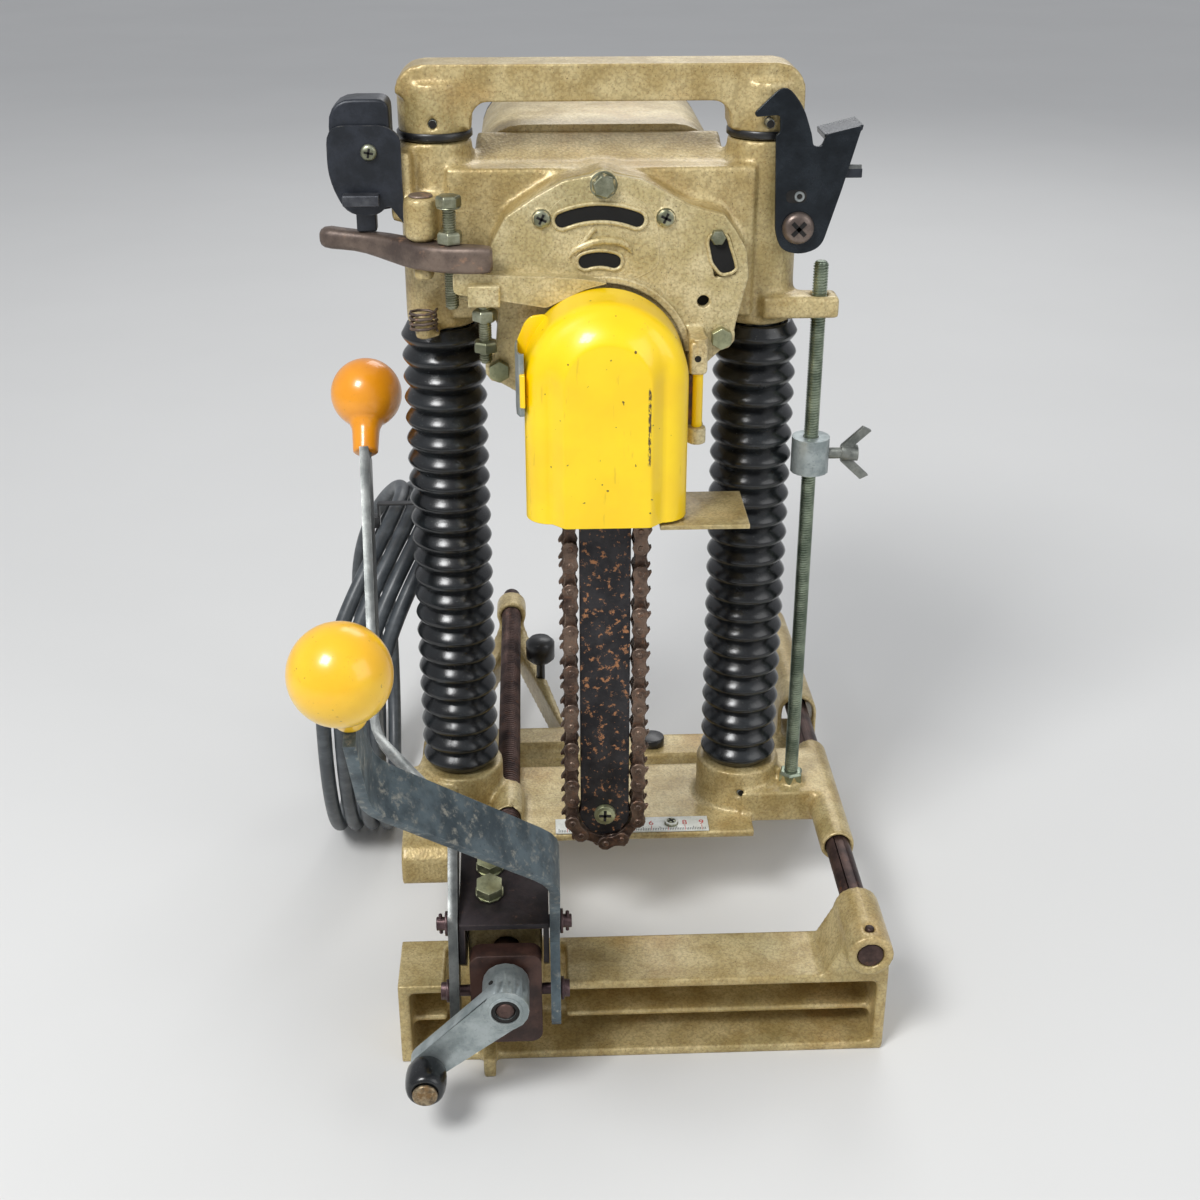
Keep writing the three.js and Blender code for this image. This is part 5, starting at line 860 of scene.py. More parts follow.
def cover_front(x, z):
    """The Y of the shell's front skin."""
    inside = arch_depth(x, z, COVER["half"], COVER["centre"])
    reach = min(max(inside / COVER["shoulder"], 0), 1)
    y = COVER["front"] + COVER["shoulder"] * (1 - math.sqrt(1 - (1 - reach) ** 2))
    centre = COVER["panel_top"] - COVER["panel"]
    depth = arch_depth(x, z, COVER["panel"], centre)
    climb = max(z - centre, 0) / max(math.hypot(x, z - centre), 1)
    flank = COVER["flank"] + (COVER["top_flank"] - COVER["flank"]) * climb
    straight = min(max((depth + flank) / flank, 0), 1)
    return y - COVER["raise"] * (0.75 * straight + 0.25 * eased(depth, -flank, 0))


def arch_row(inside, straight_steps=30, arc_steps=76):
    reach = COVER["half"] - inside
    height = COVER["centre"] - COVER["low"]
    row = [(-reach, COVER["low"] + height * i / straight_steps) for i in range(straight_steps)]
    for i in range(arc_steps + 1):
        angle = math.pi * (1 - i / arc_steps)
        row.append((reach * math.cos(angle), COVER["centre"] + reach * math.sin(angle)))
    row += [(reach, COVER["centre"] - height * i / straight_steps) for i in range(1, straight_steps + 1)]
    return row


def make_cover_shell():
    vertices = []
    row = arch_row(0)
    rows = 0
    wall_steps = 8
    for i in range(wall_steps):
        y = COVER["back"] + (COVER["front"] + COVER["shoulder"] - COVER["back"]) * i / wall_steps
        vertices += [at(x, y, z) for x, z in row]
        rows += 1
    insides = [0, 0.15, 0.5, 1.1, 1.9, 3, 4.2, 5.6, 7.2, 9, 11, 13]
    while insides[-1] < COVER["half"]:
        insides.append(min(insides[-1] + 0.9, COVER["half"]))
    for inside in insides:
        vertices += [at(x, cover_front(x, z), z) for x, z in arch_row(inside)]
        rows += 1
    count = len(row)
    faces = []
    for i in range(rows - 1):
        for j in range(count - 1):
            low = i * count + j
            faces.append((low, low + 1, low + count + 1, low + count))
    work = bmesh.new()
    made = [work.verts.new(v) for v in vertices]
    for face in faces:
        work.faces.new([made[i] for i in face])
    bmesh.ops.remove_doubles(work, verts=work.verts, dist=0.00002)
    bmesh.ops.recalc_face_normals(work, faces=work.faces)
    work.faces.ensure_lookup_table()
    on_panel = at(5, COVER["front"] - COVER["raise"], 340)
    nearest = min(work.faces, key=lambda f: (f.calc_center_median() - on_panel).length)
    if nearest.normal.y > 0:
        bmesh.ops.reverse_faces(work, faces=work.faces)
    shell = bpy.data.objects.new("cover_shell", mesh_of("cover_shell", work))
    bpy.context.scene.collection.objects.link(shell)
    thick = shell.modifiers.new("sheet", "SOLIDIFY")
    thick.thickness = COVER["wall"] * MM
    thick.offset = -1
    thick.use_even_offset = True
    soften(shell, 0.5, 2, 55)
    put(shell, "cover", "yellow", "chain_cover")


def make_cover_fittings():
    ear = fillet([
        (-28.4, 383.4, 1), (-36.4, 372, 4), (-40, 358.5, 2), (-41.3, 357, 1), (-43.6, 363, 2),
        (-45.6, 366.5, 2), (-44, 372, 3), (-40.2, 380.8, 3), (-37, 383.9, 2), (-30.4, 384.7, 2),
    ])
    panel("cover_ear", ear, 2.2, -60, 0.7, 3, "cover", "yellow")
    lug = [(-40.4, -87), (-42.9, -86.2), (-43.4, -83), (-42.6, -79), (-40.4, -78)]
    put(prism("cover_lug", lug, 17, across_z(345), 0.6, 3), "cover", "yellow")
    clip = [
        (-40.7, -84), (-43.2, -84.6), (-44.8, -80), (-45.2, -70), (-44.8, -60), (-43.8, -59.6), (-44, -70),
        (-43.6, -79), (-42.4, -82.6), (-40.7, -82.6),
    ]
    put(prism("cover_clip", clip, 32, across_z(340), 0.3), "cover", "grey")
    knuckle = [(1.9, 0), (2.5, 0), (2.8, 0.3), (2.8, 37.7), (2.5, 38), (1.9, 38), (1.9, 0)]
    turned("cover_knuckle", (*HINGE, 326), UP, knuckle, "cover", "yellow", sides=36)
    # Painted shade: the strap is coloured as dark rusty iron for the shaded gap behind the knuckle
    put(box_piece("cover_strap", (40, -63.2, 327), (44.4, -60.8, 353.6), 0.4), "cover", "rust")
    lug = fillet([(42.4, 354.4, 2), (51.4, 354.4, 3), (51.4, 371.6, 4), (42.4, 371.6, 3)])
    panel("hinge_lug_face", lug, 9.6, -66.6, 2, 4, "head", "gold_plate")
    # The lug's eye: a dark disc of painted shade
    dot("hinge_lug_eye", (46.4, -66.55, 363), 1.7, 0.2, "head", "slot")


make_cover_shell()
make_cover_fittings()


# Chain: pairs of side plates on rivets, with hooked cutters between them
CHAIN = {"path": 18.7, "nose": 94.5, "drive": 366, "y": -62, "links": 54}


def chain_place(run):
    """A point of the chain's line with the direction that points outwards there."""
    straight = CHAIN["drive"] - CHAIN["nose"]
    arc = math.pi * CHAIN["path"]
    run %= 2 * straight + 2 * arc
    if run < straight:
        return CHAIN["path"], CHAIN["nose"] + run, 0.0
    run -= straight
    if run < arc:
        angle = run / CHAIN["path"]
        return CHAIN["path"] * math.cos(angle), CHAIN["drive"] + CHAIN["path"] * math.sin(angle), angle
    run -= arc
    if run < straight:
        return -CHAIN["path"], CHAIN["drive"] - run, math.pi
    angle = (run - straight) / CHAIN["path"] + math.pi
    return CHAIN["path"] * math.cos(angle), CHAIN["nose"] + CHAIN["path"] * math.sin(angle), angle


def chain_plate(vertices, faces, outline, y_low, y_high, place, chamfer=0.35):
    """Adds one plate of the chain: an outline of run and reach, with chamfered rims."""
    x0, z0, out = place
    sin, cos = math.sin(out), math.cos(out)
    middle_s = sum(s for s, _ in outline) / len(outline)
    middle_o = sum(o for _, o in outline) / len(outline)
    start = len(vertices)
    count = len(outline)
    for y, inset in ((y_low, chamfer), (y_low + chamfer, 0), (y_high - chamfer, 0), (y_high, chamfer)):
        for s, o in outline:
            gap = math.hypot(s - middle_s, o - middle_o)
            s2 = s - (s - middle_s) / gap * inset
            o2 = o - (o - middle_o) / gap * inset
            vertices.append(at(x0 - s2 * sin + o2 * cos, y, z0 + s2 * cos + o2 * sin))
    faces += ring_faces(start, 4, count)
    faces.append(tuple(range(start, start + count)))
    faces.append(tuple(range(start + 3 * count, start + 4 * count)))


def peanut(reach, radius, waist, steps=7):
    outline = []
    for side in (1, -1):
        for i in range(steps + 1):
            angle = math.radians(-122 + 244 * i / steps)
            outline.append((side * (reach + radius * math.cos(angle)), side * radius * math.sin(angle)))
        outline.append((0, side * waist))
    return outline


def circle_outline(radius, centre, steps=14):
    angles = [TURN * i / steps for i in range(steps)]
    return [(centre + radius * math.cos(angle), radius * math.sin(angle)) for angle in angles]


def make_chain():
    vertices, faces = [], []
    whole = 2 * (CHAIN["drive"] - CHAIN["nose"]) + TURN * CHAIN["path"]
    pitch = whole / CHAIN["links"]
    half = pitch / 2
    plate = peanut(half * 0.78, 4.5, 3.3)
    inner = peanut(half, 3.9, 2.9)
    cutter = [
        (-6.2, -2.9), (6.2, -2.9), (8.2, -1.2), (8.6, 1.2), (7.4, 3), (6, 3.6), (5.6, 4.6), (6, 5.8),
        (4.9, 6.1), (3.2, 5.3), (1.4, 4), (-0.6, 3.6), (-2.6, 4), (-4.4, 4.6), (-5.6, 4.2), (-6.6, 3),
        (-8.2, 1.4), (-8.4, -1),
    ]
    for i in range(CHAIN["links"]):
        place = chain_place(i * pitch)
        if i % 2 == 0:
            for low, high in ((-8, -6.3), (6.3, 8)):
                chain_plate(vertices, faces, plate, CHAIN["y"] + low, CHAIN["y"] + high, place)
            chain_plate(vertices, faces, cutter, CHAIN["y"] - 6.1, CHAIN["y"] - 4.4, place, 0.25)
            chain_plate(vertices, faces, cutter, CHAIN["y"] + 4.4, CHAIN["y"] + 6.1, place, 0.25)
            for side in (-1, 1):
                pin = circle_outline(1.75, side * half * 0.78)
                chain_plate(vertices, faces, pin, CHAIN["y"] - 8.5, CHAIN["y"] + 8.5, place, 0.5)
        else:
            for low, high in ((-4.2, -2.5), (2.5, 4.2)):
                chain_plate(vertices, faces, inner, CHAIN["y"] + low, CHAIN["y"] + high, place, 0.25)
            chain_plate(vertices, faces, cutter, CHAIN["y"] - 1.3, CHAIN["y"] + 1.3, place, 0.25)
        link_body = peanut(half * 0.8, 3.2, 3.0)
        chain_plate(vertices, faces, link_body, CHAIN["y"] - 4.3, CHAIN["y"] + 4.3, place, 0.3)
    chain = sharpen(make_object("mortise_chain", vertices, faces), 32)
    put(chain, "head", "chain", "chain")


make_chain()


# Threaded rods and bolts
def threaded(name, place, axis, body, look, core, core_sides, start, size, depth, sides):
    """A rod's core, which stands for its solid, and its thread: radius, pitch and length, from a start."""
    turned(name + "_core", place, axis, core, body, look, name, sides=core_sides)
    radius, pitch, length = size
    put(thread(name + "_thread", at(*start), axis, radius, pitch, length, depth, sides), body, look)


def make_depth_rod():
    core = [(0, 0), (3.9, 0), (3.9, 20), (3.35, 21), (3.35, 331.6), (3.2, 332.4), (2.6, 333), (0, 333)]
    foot, start = (*DEPTH_ROD, 66), (*DEPTH_ROD, 87)
    threaded("depth_rod", foot, UP, "carriage", "rod", core, 24, start, (4, 1.5, 311), 0.5, 20)
    hex_head("depth_rod_nut", (*DEPTH_ROD, 80), UP, 13.2, 8.2, "carriage", "rod", 0.3)


def make_lead_screw():
    core = [
        (0, 0), (2.6, 0.2), (4.2, 0.8), (4.9, 1.9), (5, 38.4), (6.3, 38.4), (7, 39.1), (7, 54.5), (6.1, 55.5),
        (6.1, 474.5), (6.3, 475.5), (6.3, 478.5), (5.6, 480), (0, 480),
    ]
    front, start = (SCREW_X, -208, SCREW_Z), (SCREW_X, -152, SCREW_Z)
    threaded("lead_screw", front, BACKWARDS, "screw", "dark", core, 40, start, (7, 2.5, 417), 0.36, 28)


def make_stop_bolt():
    core = [(0, 0), (2.5, 0), (2.9, 0.8), (2.9, 52), (0, 52)]
    foot, start = (*STOP_BOLT, 386), (*STOP_BOLT, 387)
    threaded("stop_bolt", foot, UP, "stop", "bolt", core, 24, start, (3.45, 1.25, 49.6), 0.5, 18)
    hex_head("stop_bolt_head", (*STOP_BOLT, 436.6), UP, 11.2, 5.6, "stop", "bolt", 0.15)
    hex_head("stop_bolt_nut", (*STOP_BOLT, 418.8), UP, 11.4, 6, "stop", "bolt", 0.4)
    washer = [(3.4, 0), (5.9, 0), (6.1, 0.3), (5.9, 0.6), (3.4, 0.6), (3.4, 0)]
    turned("stop_bolt_washer", (*STOP_BOLT, 436.1), UP, washer, "stop", "bolt", sides=32)


def make_stop_stud():
    core = [(0, 0), (2.3, 0), (2.7, 0.8), (2.7, 39), (0, 39)]
    foot, start = (*STOP_STUD, 358), (*STOP_STUD, 359)
    threaded("stop_stud", foot, UP, "head", "bolt", core, 24, start, (3.25, 1.25, 37.5), 0.5, 18)
    hex_head("stop_stud_nut_high", (*STOP_STUD, 380), UP, 11.2, 5.6, "head", "bolt", 0.2)
    hex_head("stop_stud_nut_low", (*STOP_STUD, 364), UP, 11.2, 5.6, "head", "bolt", 0.55)


make_depth_rod()
make_lead_screw()
make_stop_bolt()
make_stop_stud()


# Screws with a cross recess
for side, screw_x in (("left", -30.8), ("right", 30.8)):
    pan_head("cover_screw_" + side, (screw_x, COVER_FACE, 429), FORWARDS, 4.75, 2.9, "head", "bolt", 0.35)
pan_head("nose_screw_head", (0, -67.6, 94.5), FORWARDS, 6.2, 2.9, "head", "nose", 0.75)
pan_head("switch_screw_head", (-115.1, -30, 459), FORWARDS, 4.1, 2.5, "head", "bolt", 0.6)
latch_pivot = (LATCH_X, -26.4, 419)
pan_head("latch_screw_head", latch_pivot, FORWARDS, 8.2, 4.3, "head", "latch_head", 0.0, "latch_screw")
for screw_x in (-17, 41):
    pan_head(f"ruler_screw_{screw_x}", (screw_x, -37.25, 66.3), UP, 4.1, 2.2, "carriage", "bolt", 0.5)


# Ruler: a tick for each millimetre and a digit for each centimetre
RULER = {"left": -28, "right": 63, "front": -44.5, "top": 66.3, "centimetre_six": 29}


def make_ticks():
    vertices, faces = [], []
    red_vertices, red_faces = [], []
    for millimetre in range(3, 93):
        x = RULER["centimetre_six"] - 60 + millimetre
        if not RULER["left"] + 1 < x < RULER["right"] - 1:
            continue
        length = 5.2 if millimetre % 10 == 0 else 4 if millimetre % 5 == 0 else 2.6
        some, those = (red_vertices, red_faces) if millimetre % 10 == 0 else (vertices, faces)
        start = len(some)
        for z in (RULER["top"] - 0.05, RULER["top"] + 0.06):
            for dx, dy in ((-0.17, 0.3), (0.17, 0.3), (0.17, length), (-0.17, length)):
                some.append(at(x + dx, RULER["front"] + dy, z))
        those += [tuple(start + i for i in face) for face in (
            (3, 2, 1, 0), (4, 5, 6, 7), (0, 1, 5, 4), (1, 2, 6, 5), (2, 3, 7, 6), (3, 0, 4, 7),
        )]
    put(make_object("ruler_ticks", vertices, faces, smooth=False), "carriage", "ink")
    put(make_object("ruler_long_ticks", red_vertices, red_faces, smooth=False), "carriage", "red_ink")


def make_digit(digit):
    x = RULER["centimetre_six"] + 10 * (digit - 6)
    font = bpy.data.curves.new(f"digit_{digit}", "FONT")
    font.body = str(digit)
    font.size = 6.4 * MM
    font.align_x = "CENTER"
    font.extrude = 0.05 * MM
    words = bpy.data.objects.new(f"digit_curve_{digit}", font)
    bpy.context.scene.collection.objects.link(words)
    bpy.context.view_layer.update()
    shape = words.evaluated_get(bpy.context.evaluated_depsgraph_get())
    mesh = bpy.data.meshes.new_from_object(shape)
    bpy.data.objects.remove(words)
    mesh.transform(Matrix.Translation(at(x, RULER["front"] + 6, RULER["top"] + 0.01)))
    mesh.materials.clear()
    put(finish_mesh(f"ruler_digit_{digit}", mesh, smooth=False), "carriage", "red_ink")


make_ticks()
for ruler_digit in (1, 2, 3, 5, 6, 8, 9):
    make_digit(ruler_digit)


# Ball knobs on their faceted necks
BALL = {"radius": 20, "steps": 26}


def make_ball(name, centre, lean, look, node):
    """A ball with a tapered neck that points down its lever, which leans forwards by an angle."""
    angle = math.radians(lean)
    way = Vector((0, -math.sin(angle), math.cos(angle)))
    profile = [(0, -36), (5.9, -36), (6.9, -35.2), (7.1, -34)]
    profile += [(7.1 + 0.75 * i / 5, -34 + 13.5 * i / 5) for i in range(1, 5)]
    profile += [(8.1, -21), (9, -19.2)]
    first = math.radians(28)
    for i in range(BALL["steps"] + 1):
        turn = first + (math.pi - first) * i / BALL["steps"]
        reach = BALL["radius"] * math.sin(turn) if i < BALL["steps"] else 0
        profile.append((reach, -BALL["radius"] * math.cos(turn)))
    turned(name, centre, way, profile, "levers", look, node, sides=64, degrees=75)


make_ball("ball_front", (-110, -315.3, 322.1), 33.5, "ball_front", "front_ball_knob")
make_ball("ball_rear", (-131, 35.7, 312.7), -42, "ball_rear", "rear_ball_knob")


# Pieces of sheet, forging and moulding with their own shapes
def make_switch():
    guard = fillet([
        (-135.4, 471.9, 9), (-106.4, 471.9, 6), (-99.4, 467, 4), (-99.4, 423.4, 1), (-106.6, 433.4, 3),
        (-112, 428.2, 5), (-127.4, 428.2, 9), (-136, 446, 14),
    ])
    panel("switch_guard", guard, 1.6, -30, 0.5, 3, "head", "black", "switch_box")
    body = fillet([
        (-134.2, 484, 13), (-104.4, 484, 6), (-104.4, 431, 2), (-114, 429.5, 3), (-126, 429.5, 6),
        (-134.2, 444, 8),
    ])
    panel("switch_body", body, 21, -28.2, 2.2, 4, "head", "black")
    put(box_piece("switch_lip", (-129, -36.6, 437.2), (-110.8, -29.4, 439.4), 0.8), "head", "lip")
    put(box_piece("switch_lip_front", (-129, -37, 433.8), (-110.8, -35.2, 439.2), 0.7), "head", "lip")


def loft(name, sections, exponent_low, exponent_high, sides=28):
    """A forging along X: each section is a place, its middle in Y and Z, its half depth and half height."""
    vertices = []
    for index, (x, y, z, depth, height) in enumerate(sections):
        power = exponent_low + (exponent_high - exponent_low) * index / (len(sections) - 1)
        for i in range(sides):
            angle = TURN * (i + 0.5) / sides
            cos, sin = math.cos(angle), math.sin(angle)
            vertices.append(at(
                x,
                y + depth * math.copysign(abs(cos) ** (2 / power), cos),
                z + height * math.copysign(abs(sin) ** (2 / power), sin),
            ))
    ends = [tuple(range(sides)), tuple(range(len(vertices) - sides, len(vertices)))]
    return sharpen(make_object(name, vertices, ends + ring_faces(0, len(sections), sides)), 34)


def make_stop_lever():
    sections = [
        (-143.6, -17.4, 414.6, 2.4, 2.4), (-142.8, -17.6, 414.6, 4.2, 3.9), (-141, -18, 414.7, 5.4, 5),
        (-137.5, -18.4, 414.6, 6, 5.5), (-132, -19.4, 414.2, 5.9, 5.3), (-126, -20.8, 413.8, 5.8, 5.2),
        (-120, -22.8, 413.2, 6, 5.4), (-114, -25.8, 412.6, 6.6, 5.9), (-107, -30.2, 412, 7.6, 6.5),
        (-100, -36.4, 411.7, 8.8, 6.8), (-93, -41.6, 411.6, 10, 6.9), (-85, -46.4, 411.6, 9.4, 6.9),
        (-76, -52.4, 411.6, 6.4, 6.8), (-67, -54.2, 411.6, 6, 6.8), (-60, -55, 411.6, 5.4, 6.6),
        (-56.4, -55.2, 411.6, 4.8, 6), (-55.2, -55.2, 411.6, 3.8, 4.8),
    ]
    put(loft("stop_forging", sections, 2.3, 5), "stop", "forged", "stop_lever")
    cap = [(0, 0), (5.9, 0), (6, 0.4), (5.6, 0.9), (0, 1)]
    turned("stop_pin_top", (*STOP_PIN, 440), UP, cap, "head", "forged", sides=40)


def make_latch():
    hook = fillet([
        (88.2, 416.6, 4), (91.6, 407.4, 7), (101.8, 404.9, 7), (112.4, 408.6, 6), (121.2, 437.9, 0),
        (129.7, 469.6, 2), (112, 465.4, 1), (109.6, 459.4, 2.6), (105.6, 459.4, 2.6), (104.4, 465.6, 1),
        (99.8, 478.8, 6), (90.3, 490.4, 9), (75.4, 476, 2), (76.3, 473.9, 1), (88.2, 474.8, 2),
        (88.5, 466.6, 2), (86.4, 464.8, 1),
    ])
    panel("latch_plate", hook, 2.6, -26.4, 0.5, 3, "latch", "chrome_black", "latch_hook")
    flange = fillet([(111.4, 462, 0), (129.9, 466.6, 1), (130.6, 469.8, 1), (111, 465, 0)])
    panel("latch_flange", flange, 24, -24.6, 0.9, 3, "latch", "chrome_black")
    put(box_piece("latch_tab", (119.4, -24.4, 443.4), (131.4, -20.8, 448), 0.5), "latch", "black")
    fold = box_piece("latch_return", (117.4, -24.2, 447.6), (131, -22.6, 450), 0.4)
    put(fold, "latch", "arm", slot="black_paint")
    ring = [(1.5, 0), (2.5, 0), (2.7, 0.3), (2.5, 0.7), (1.5, 0.7), (1.3, 0.3), (1.5, 0)]
    turned("latch_pin_ring", (LATCH_X, -26.3, 434.8), FORWARDS, ring, "latch", "bright", sides=32)
    # The slot: a thin dark sheet of painted shade on the plate
    slot_shape = fillet([(93, 431.6, 3), (103.4, 431.6, 3), (103.4, 438, 3), (93, 438, 3)])
    panel("latch_slot", slot_shape, 0.3, -26.6, 0.1, 1, "latch", "slot")


def make_crank_knob():
    barrel = [
        (4.5, 0), (7.4, 0), (9, 1), (10, 3.2), (10.4, 6.6), (10.4, 10.6), (10.1, 14), (9.3, 16.8),
        (8.2, 18.2), (7.2, 18.65), (6.5, 18.2), (4.5, 18.2), (4.5, 0),
    ]
    place, body = (GRIP_X, -206.35, GRIP_Z), BODY_OF["crank_knob"]
    turned("knob_barrel", place, FORWARDS, barrel, body, "bellows", "crank_knob", sides=56, degrees=60)
    pin = [
        (0, 0), (3.6, 0), (4, 0.5), (4, 26.9), (6.1, 27.2), (6.3, 27.5), (6.3, 28.6), (5.7, 29.2), (0, 29.5),
    ]
    place, body = (GRIP_X, -198, GRIP_Z), BODY_OF["crank_handle_pin"]
    turned("knob_pin", place, FORWARDS, pin, body, "knob_end", "crank_handle_pin")


def make_crank_details():
    ring = [(5.4, 0), (5.4, 0.12), (7.3, 0.12), (7.3, 0.9), (8.1, 0.9), (8.7, 0.4), (8.7, 0)]
    turned("crank_recess_rim", (SCREW_X, -207, SCREW_Z), FORWARDS, ring, "screw", "grey", sides=56)
    # The recess floor and the cross hole are dark discs of painted shade
    hollow = [(5.2, 0), (5.2, 0.2), (7.2, 0.2), (7.2, 0), (5.2, 0)]
    turned("crank_recess_floor", (SCREW_X, -207, SCREW_Z), FORWARDS, hollow, "screw", "slot", sides=56)
    dot("crank_cross_hole", (-63.1, -196, 79.3), 1.3, 0.5, "screw", "slot", (-0.6, 0, 0.8), 20)


def make_roll_pins():
    """Hollow ends of the roll pins in the column feet and the handle, as dark discs of painted shade."""
    for x, front, z in (
        (-COLUMN_X, -17, 470), (COLUMN_X, -23.4, 470), (-COLUMN_X, -24, 78), (COLUMN_X, -24, 78),
    ):
        dot(f"roll_pin_{x}_{z}", (x, front, z), 1.9, 0.12, "carriage", "slot")


def make_bump_rings():
    ring = [(13.2, 0), (18.6, 0), (19.2, 0.6), (19.2, 3.4), (18.7, 4), (13.2, 4), (13.2, 0)]
    for x in (-COLUMN_X, COLUMN_X):
        turned(f"bump_ring_{x}", (x, 0, 461.35), UP, ring, BODY_OF["top_handle"], "rubber", sides=64)


def make_opening(name, outline, bead):
    """A cast opening of the gear cover: its inside as a black plate of painted shade, and the raised bead
    round it.
    """
    panel(name + "_dark", outline, 0.5, -44.55, 0.05, 1, "head", "void")
    ring = [at(x, -44.5, z) for x, z in outline + outline[:2]]
    put(sweep(name + "_bead", ring, lambda share: bead, 10, closed_ends=False), "head", "gold_plate")


def arc_opening(reach, top, low, drop, middle_x=-2, steps=18, cap_steps=8):
    """An arched slot with round ends, its ends lower than its middle by the drop."""
    half = (top - low) / 2
    bend = (reach ** 2 + drop ** 2) / (2 * drop)
    centre = (top + low) / 2 - bend
    spread = math.asin(reach / bend)
    outline = []
    for radius, way in ((bend + half, 1), (bend - half, -1)):
        for i in range(steps + 1):
            angle = way * spread * (1 - 2 * i / steps)
            outline.append((middle_x + radius * math.sin(angle), centre + radius * math.cos(angle)))
        x, z = middle_x - way * bend * math.sin(spread), centre + bend * math.cos(spread)
        first = math.pi / 2 + spread if way > 0 else -math.pi / 2 - spread
        for i in range(1, cap_steps):
            angle = first + math.pi * i / cap_steps
            outline.append((x + half * math.cos(angle), z + half * math.sin(angle)))
    return outline


# The raised arch round the chain cover: its radii in millimetres and its two ends in degrees
ARCH = {"outer": 45.6, "inner": 41.6, "right": 8, "left": 136, "steps": 30}


def make_gear_cover_details():
    """The openings with their beads, the raised arch round the chain cover and its arm to the stop stud."""
    patch = fillet([
        (-31, 404, 5), (-31, 424, 8), (-24, 438.6, 9), (-4, 441.4, 20), (20, 438.6, 9), (28, 424, 8),
        (28, 404, 5), (14, 397, 4), (-16, 397, 4),
    ])
    panel("vent_face", patch, 0.9, -44.3, 0.15, 1, "head", "gold_plate")
    make_opening("vent_wide", arc_opening(18.6, 436.2, 427, 3.6), 1.1)
    make_opening("vent_narrow", arc_opening(7.2, 412.9, 404.2, 1.2), 1.0)
    oblong = fillet([
        (51.8, 416.4, 2), (54, 406, 2), (59.1, 399.6, 3), (64.1, 400.6, 1), (67.2, 402.6, 2), (66.2, 407, 2),
        (63.6, 414.4, 3), (61.6, 420.4, 3), (53.3, 420.5, 3),
    ])
    make_opening("vent_side", oblong, 0.9)
    hex_head("vent_side_bolt", (57, -42.5, 419), FORWARDS, 7.2, 5, "head", "bolt", 0.3)
    dot("oil_hole_shadow", (50.7, -38.6, 386), 4.4, 0.3, "head", "void")
    brow = [at(x, -44.6, z) for x, z in (
        (-17.4, 409.4), (-15.6, 412.2), (-10.6, 415), (-5, 417), (-1, 417.6), (3, 417.6), (9, 416.6),
        (12.6, 413.9), (13.8, 411.6),
    )]

    def swell(share):
        return 2.1 * min(1, 0.35 + 3 * min(share, 1 - share))

    put(sweep("vent_brow", spline(brow, 5), swell, 14), "head", "gold_plate")
    rib = [at(x, -44.4, z) for x, z in ((-4.4, 424.2), (-8.6, 419), (-12.6, 413.6))]
    put(sweep("vent_rib", spline(rib, 5), lambda share: 1.5, 12), "head", "gold_plate")
    arch = []
    whole = ARCH["left"] - ARCH["right"]
    for radius, first, span in ((ARCH["outer"], ARCH["right"], whole), (ARCH["inner"], ARCH["left"], -whole)):
        for i in range(ARCH["steps"] + 1):
            angle = math.radians(first + span * i / ARCH["steps"])
            arch.append((radius * math.cos(angle), COVER["centre"] + radius * math.sin(angle)))
    panel("cover_arch", arch, 4.2, -47.9, 1.1, 3, "head", "gold_plate")
    arm = fillet([
        (-75.2, 405.4, 3), (-52, 403, 8), (-24, 401.9, 8), (-8, 400.6, 8), (2, 398.6, 2), (-10, 395.6, 4),
        (-29, 386.4, 2), (-52, 390.4, 6), (-75.2, 394, 3),
    ])
    panel("cover_arm", arm, 10, -54, 1.6, 3, "head", "gold_plate")
    hex_head("cover_top_bolt", (0, COVER_FACE, 445), FORWARDS, 10.6, 5.4, "head", "bolt", 0.0)
    washer = [(0, 0), (6.4, 0), (6.9, 0.5), (6.5, 1.1), (0, 1.1)]
    turned("cover_top_washer", (0, -43.6, 445), FORWARDS, washer, "head", "bolt", sides=40)


make_switch()
make_stop_lever()
make_latch()
make_crank_knob()
make_crank_details()
make_roll_pins()
make_bump_rings()
make_gear_cover_details()


# Castings
cast("front_jaw", "gold")
cast("rear_jaw", "gold", voxel=1.8)
cast("carriage", "gold")
cast("head_casting", "gold", rounds=16)
cast("top_handle", "gold", rounds=5)
cast("gear_cover", "gold_plate", voxel=0.8, rounds=2, keep=0.4)
machined("motor_housing", "gold", 1.6, segments=3, degrees=30)
machined("motor_end_cap", "rubber", 0.8, degrees=30)
machined("chip_deflector", "gold", 0.8)

# Clamp, screw and levers
machined("guide_rod", "dark", 0.8)
machined("clamp_bracket", "bracket", 0.7)
machined("screw_block", "brown", 1.0, segments=3)
machined("bracket_bolt_front", "zinc", 0.5)
machined("bracket_bolt_rear", "zinc", 0.5)
machined("lever_pivot_pin", "pin", 0.4)
machined("lever_link_pin", "pin", 0.4)
machined("crank", "grey", 1.4, segments=3)
machined("lock_knob", "rubber", 0.8)
machined("rear_jaw_plug", "rubber", 0.8)
machined("front_lever", "strap", 0.8)
machined("rear_lever", "arm", 0.8)

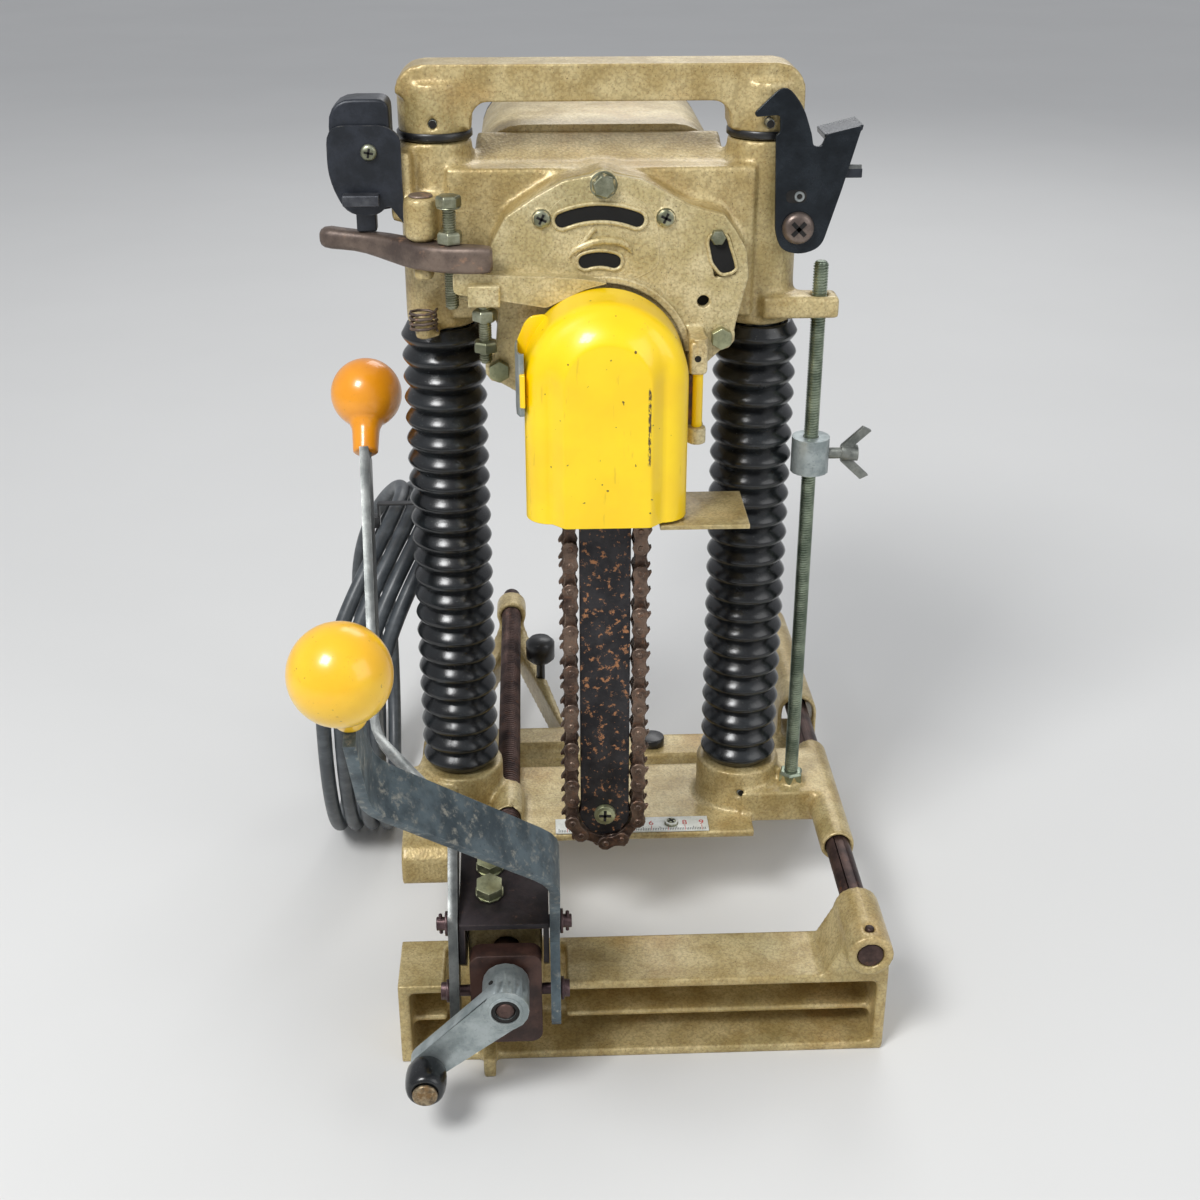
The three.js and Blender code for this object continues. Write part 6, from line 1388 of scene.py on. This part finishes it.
# Head details
machined("left_column", "bright", 0.6)
machined("right_column", "bright", 0.6)
machined("gear_cover_bolt_left", "zinc", 0.5)
machined("gear_cover_bolt_right", "zinc", 0.5)
machined("chain_bar", "bar", 0.4)
machined("nose_roller", "dark", 0.4)
machined("nose_screw", "zinc", 0.4)
machined("stop_spring", "forged", 0, slot="bright_steel")
machined("switch_trigger", "black", 0.8)
machined("armature", "copper", 0.3)
machined("motor_stator", "dark", 0.3)
machined("drive_gear", "dark", 0.3)
machined("sprocket_shaft", "bright", 0.4)
machined("depth_collar", "grey", 0.8, segments=3, slot="zinc_steel")
machined("wing_screw", "wing", 0.8)
machined("ruler", "plate", 0.15)


# Floor and light
def make_floor():
    graph = Graph("pale_floor", Roughness=0.85)
    cloud = graph.noise(2.5, detail=3)
    graph.set("Base_Color", graph.mix(cloud, colour(214, 214, 212), colour(222, 222, 220)))
    corners = [(-14, -6, 0), (14, -6, 0), (14, 30, 0), (-14, 30, 0)]
    floor = make_object("floor", corners, [(0, 1, 2, 3)], smooth=False)
    floor.data.materials.append(graph.material)


def area_light(name, place, target, size, power):
    data = bpy.data.lights.new(name, "AREA")
    data.shape = "SQUARE"
    data.size = size
    data.energy = power
    lamp = bpy.data.objects.new(name, data)
    lamp.location = place
    lamp.rotation_euler = (Vector(target) - Vector(place)).to_track_quat("-Z", "Y").to_euler()
    bpy.context.scene.collection.objects.link(lamp)


def make_world():
    world = bpy.data.worlds.new("studio")
    world.use_nodes = True
    bpy.context.scene.world = world
    background = world.node_tree.nodes["Background"]
    background.inputs["Color"].default_value = (0.93, 0.95, 1.0, 1)
    background.inputs["Strength"].default_value = 0.5


make_floor()
make_world()
# Place, target and size in metres, and power in watts
area_light("key", (-0.8, -0.95, 1.75), (0, 0.1, 0.2), 0.6, 30)
area_light("fill", (1.5, -1.0, 1.1), (0, 0.1, 0.2), 1.2, 8)
area_light("rim", (0.5, 2.0, 1.7), (0, 0.1, 0.3), 1.2, 12)
bpy.context.scene.view_settings.view_transform = "Standard"
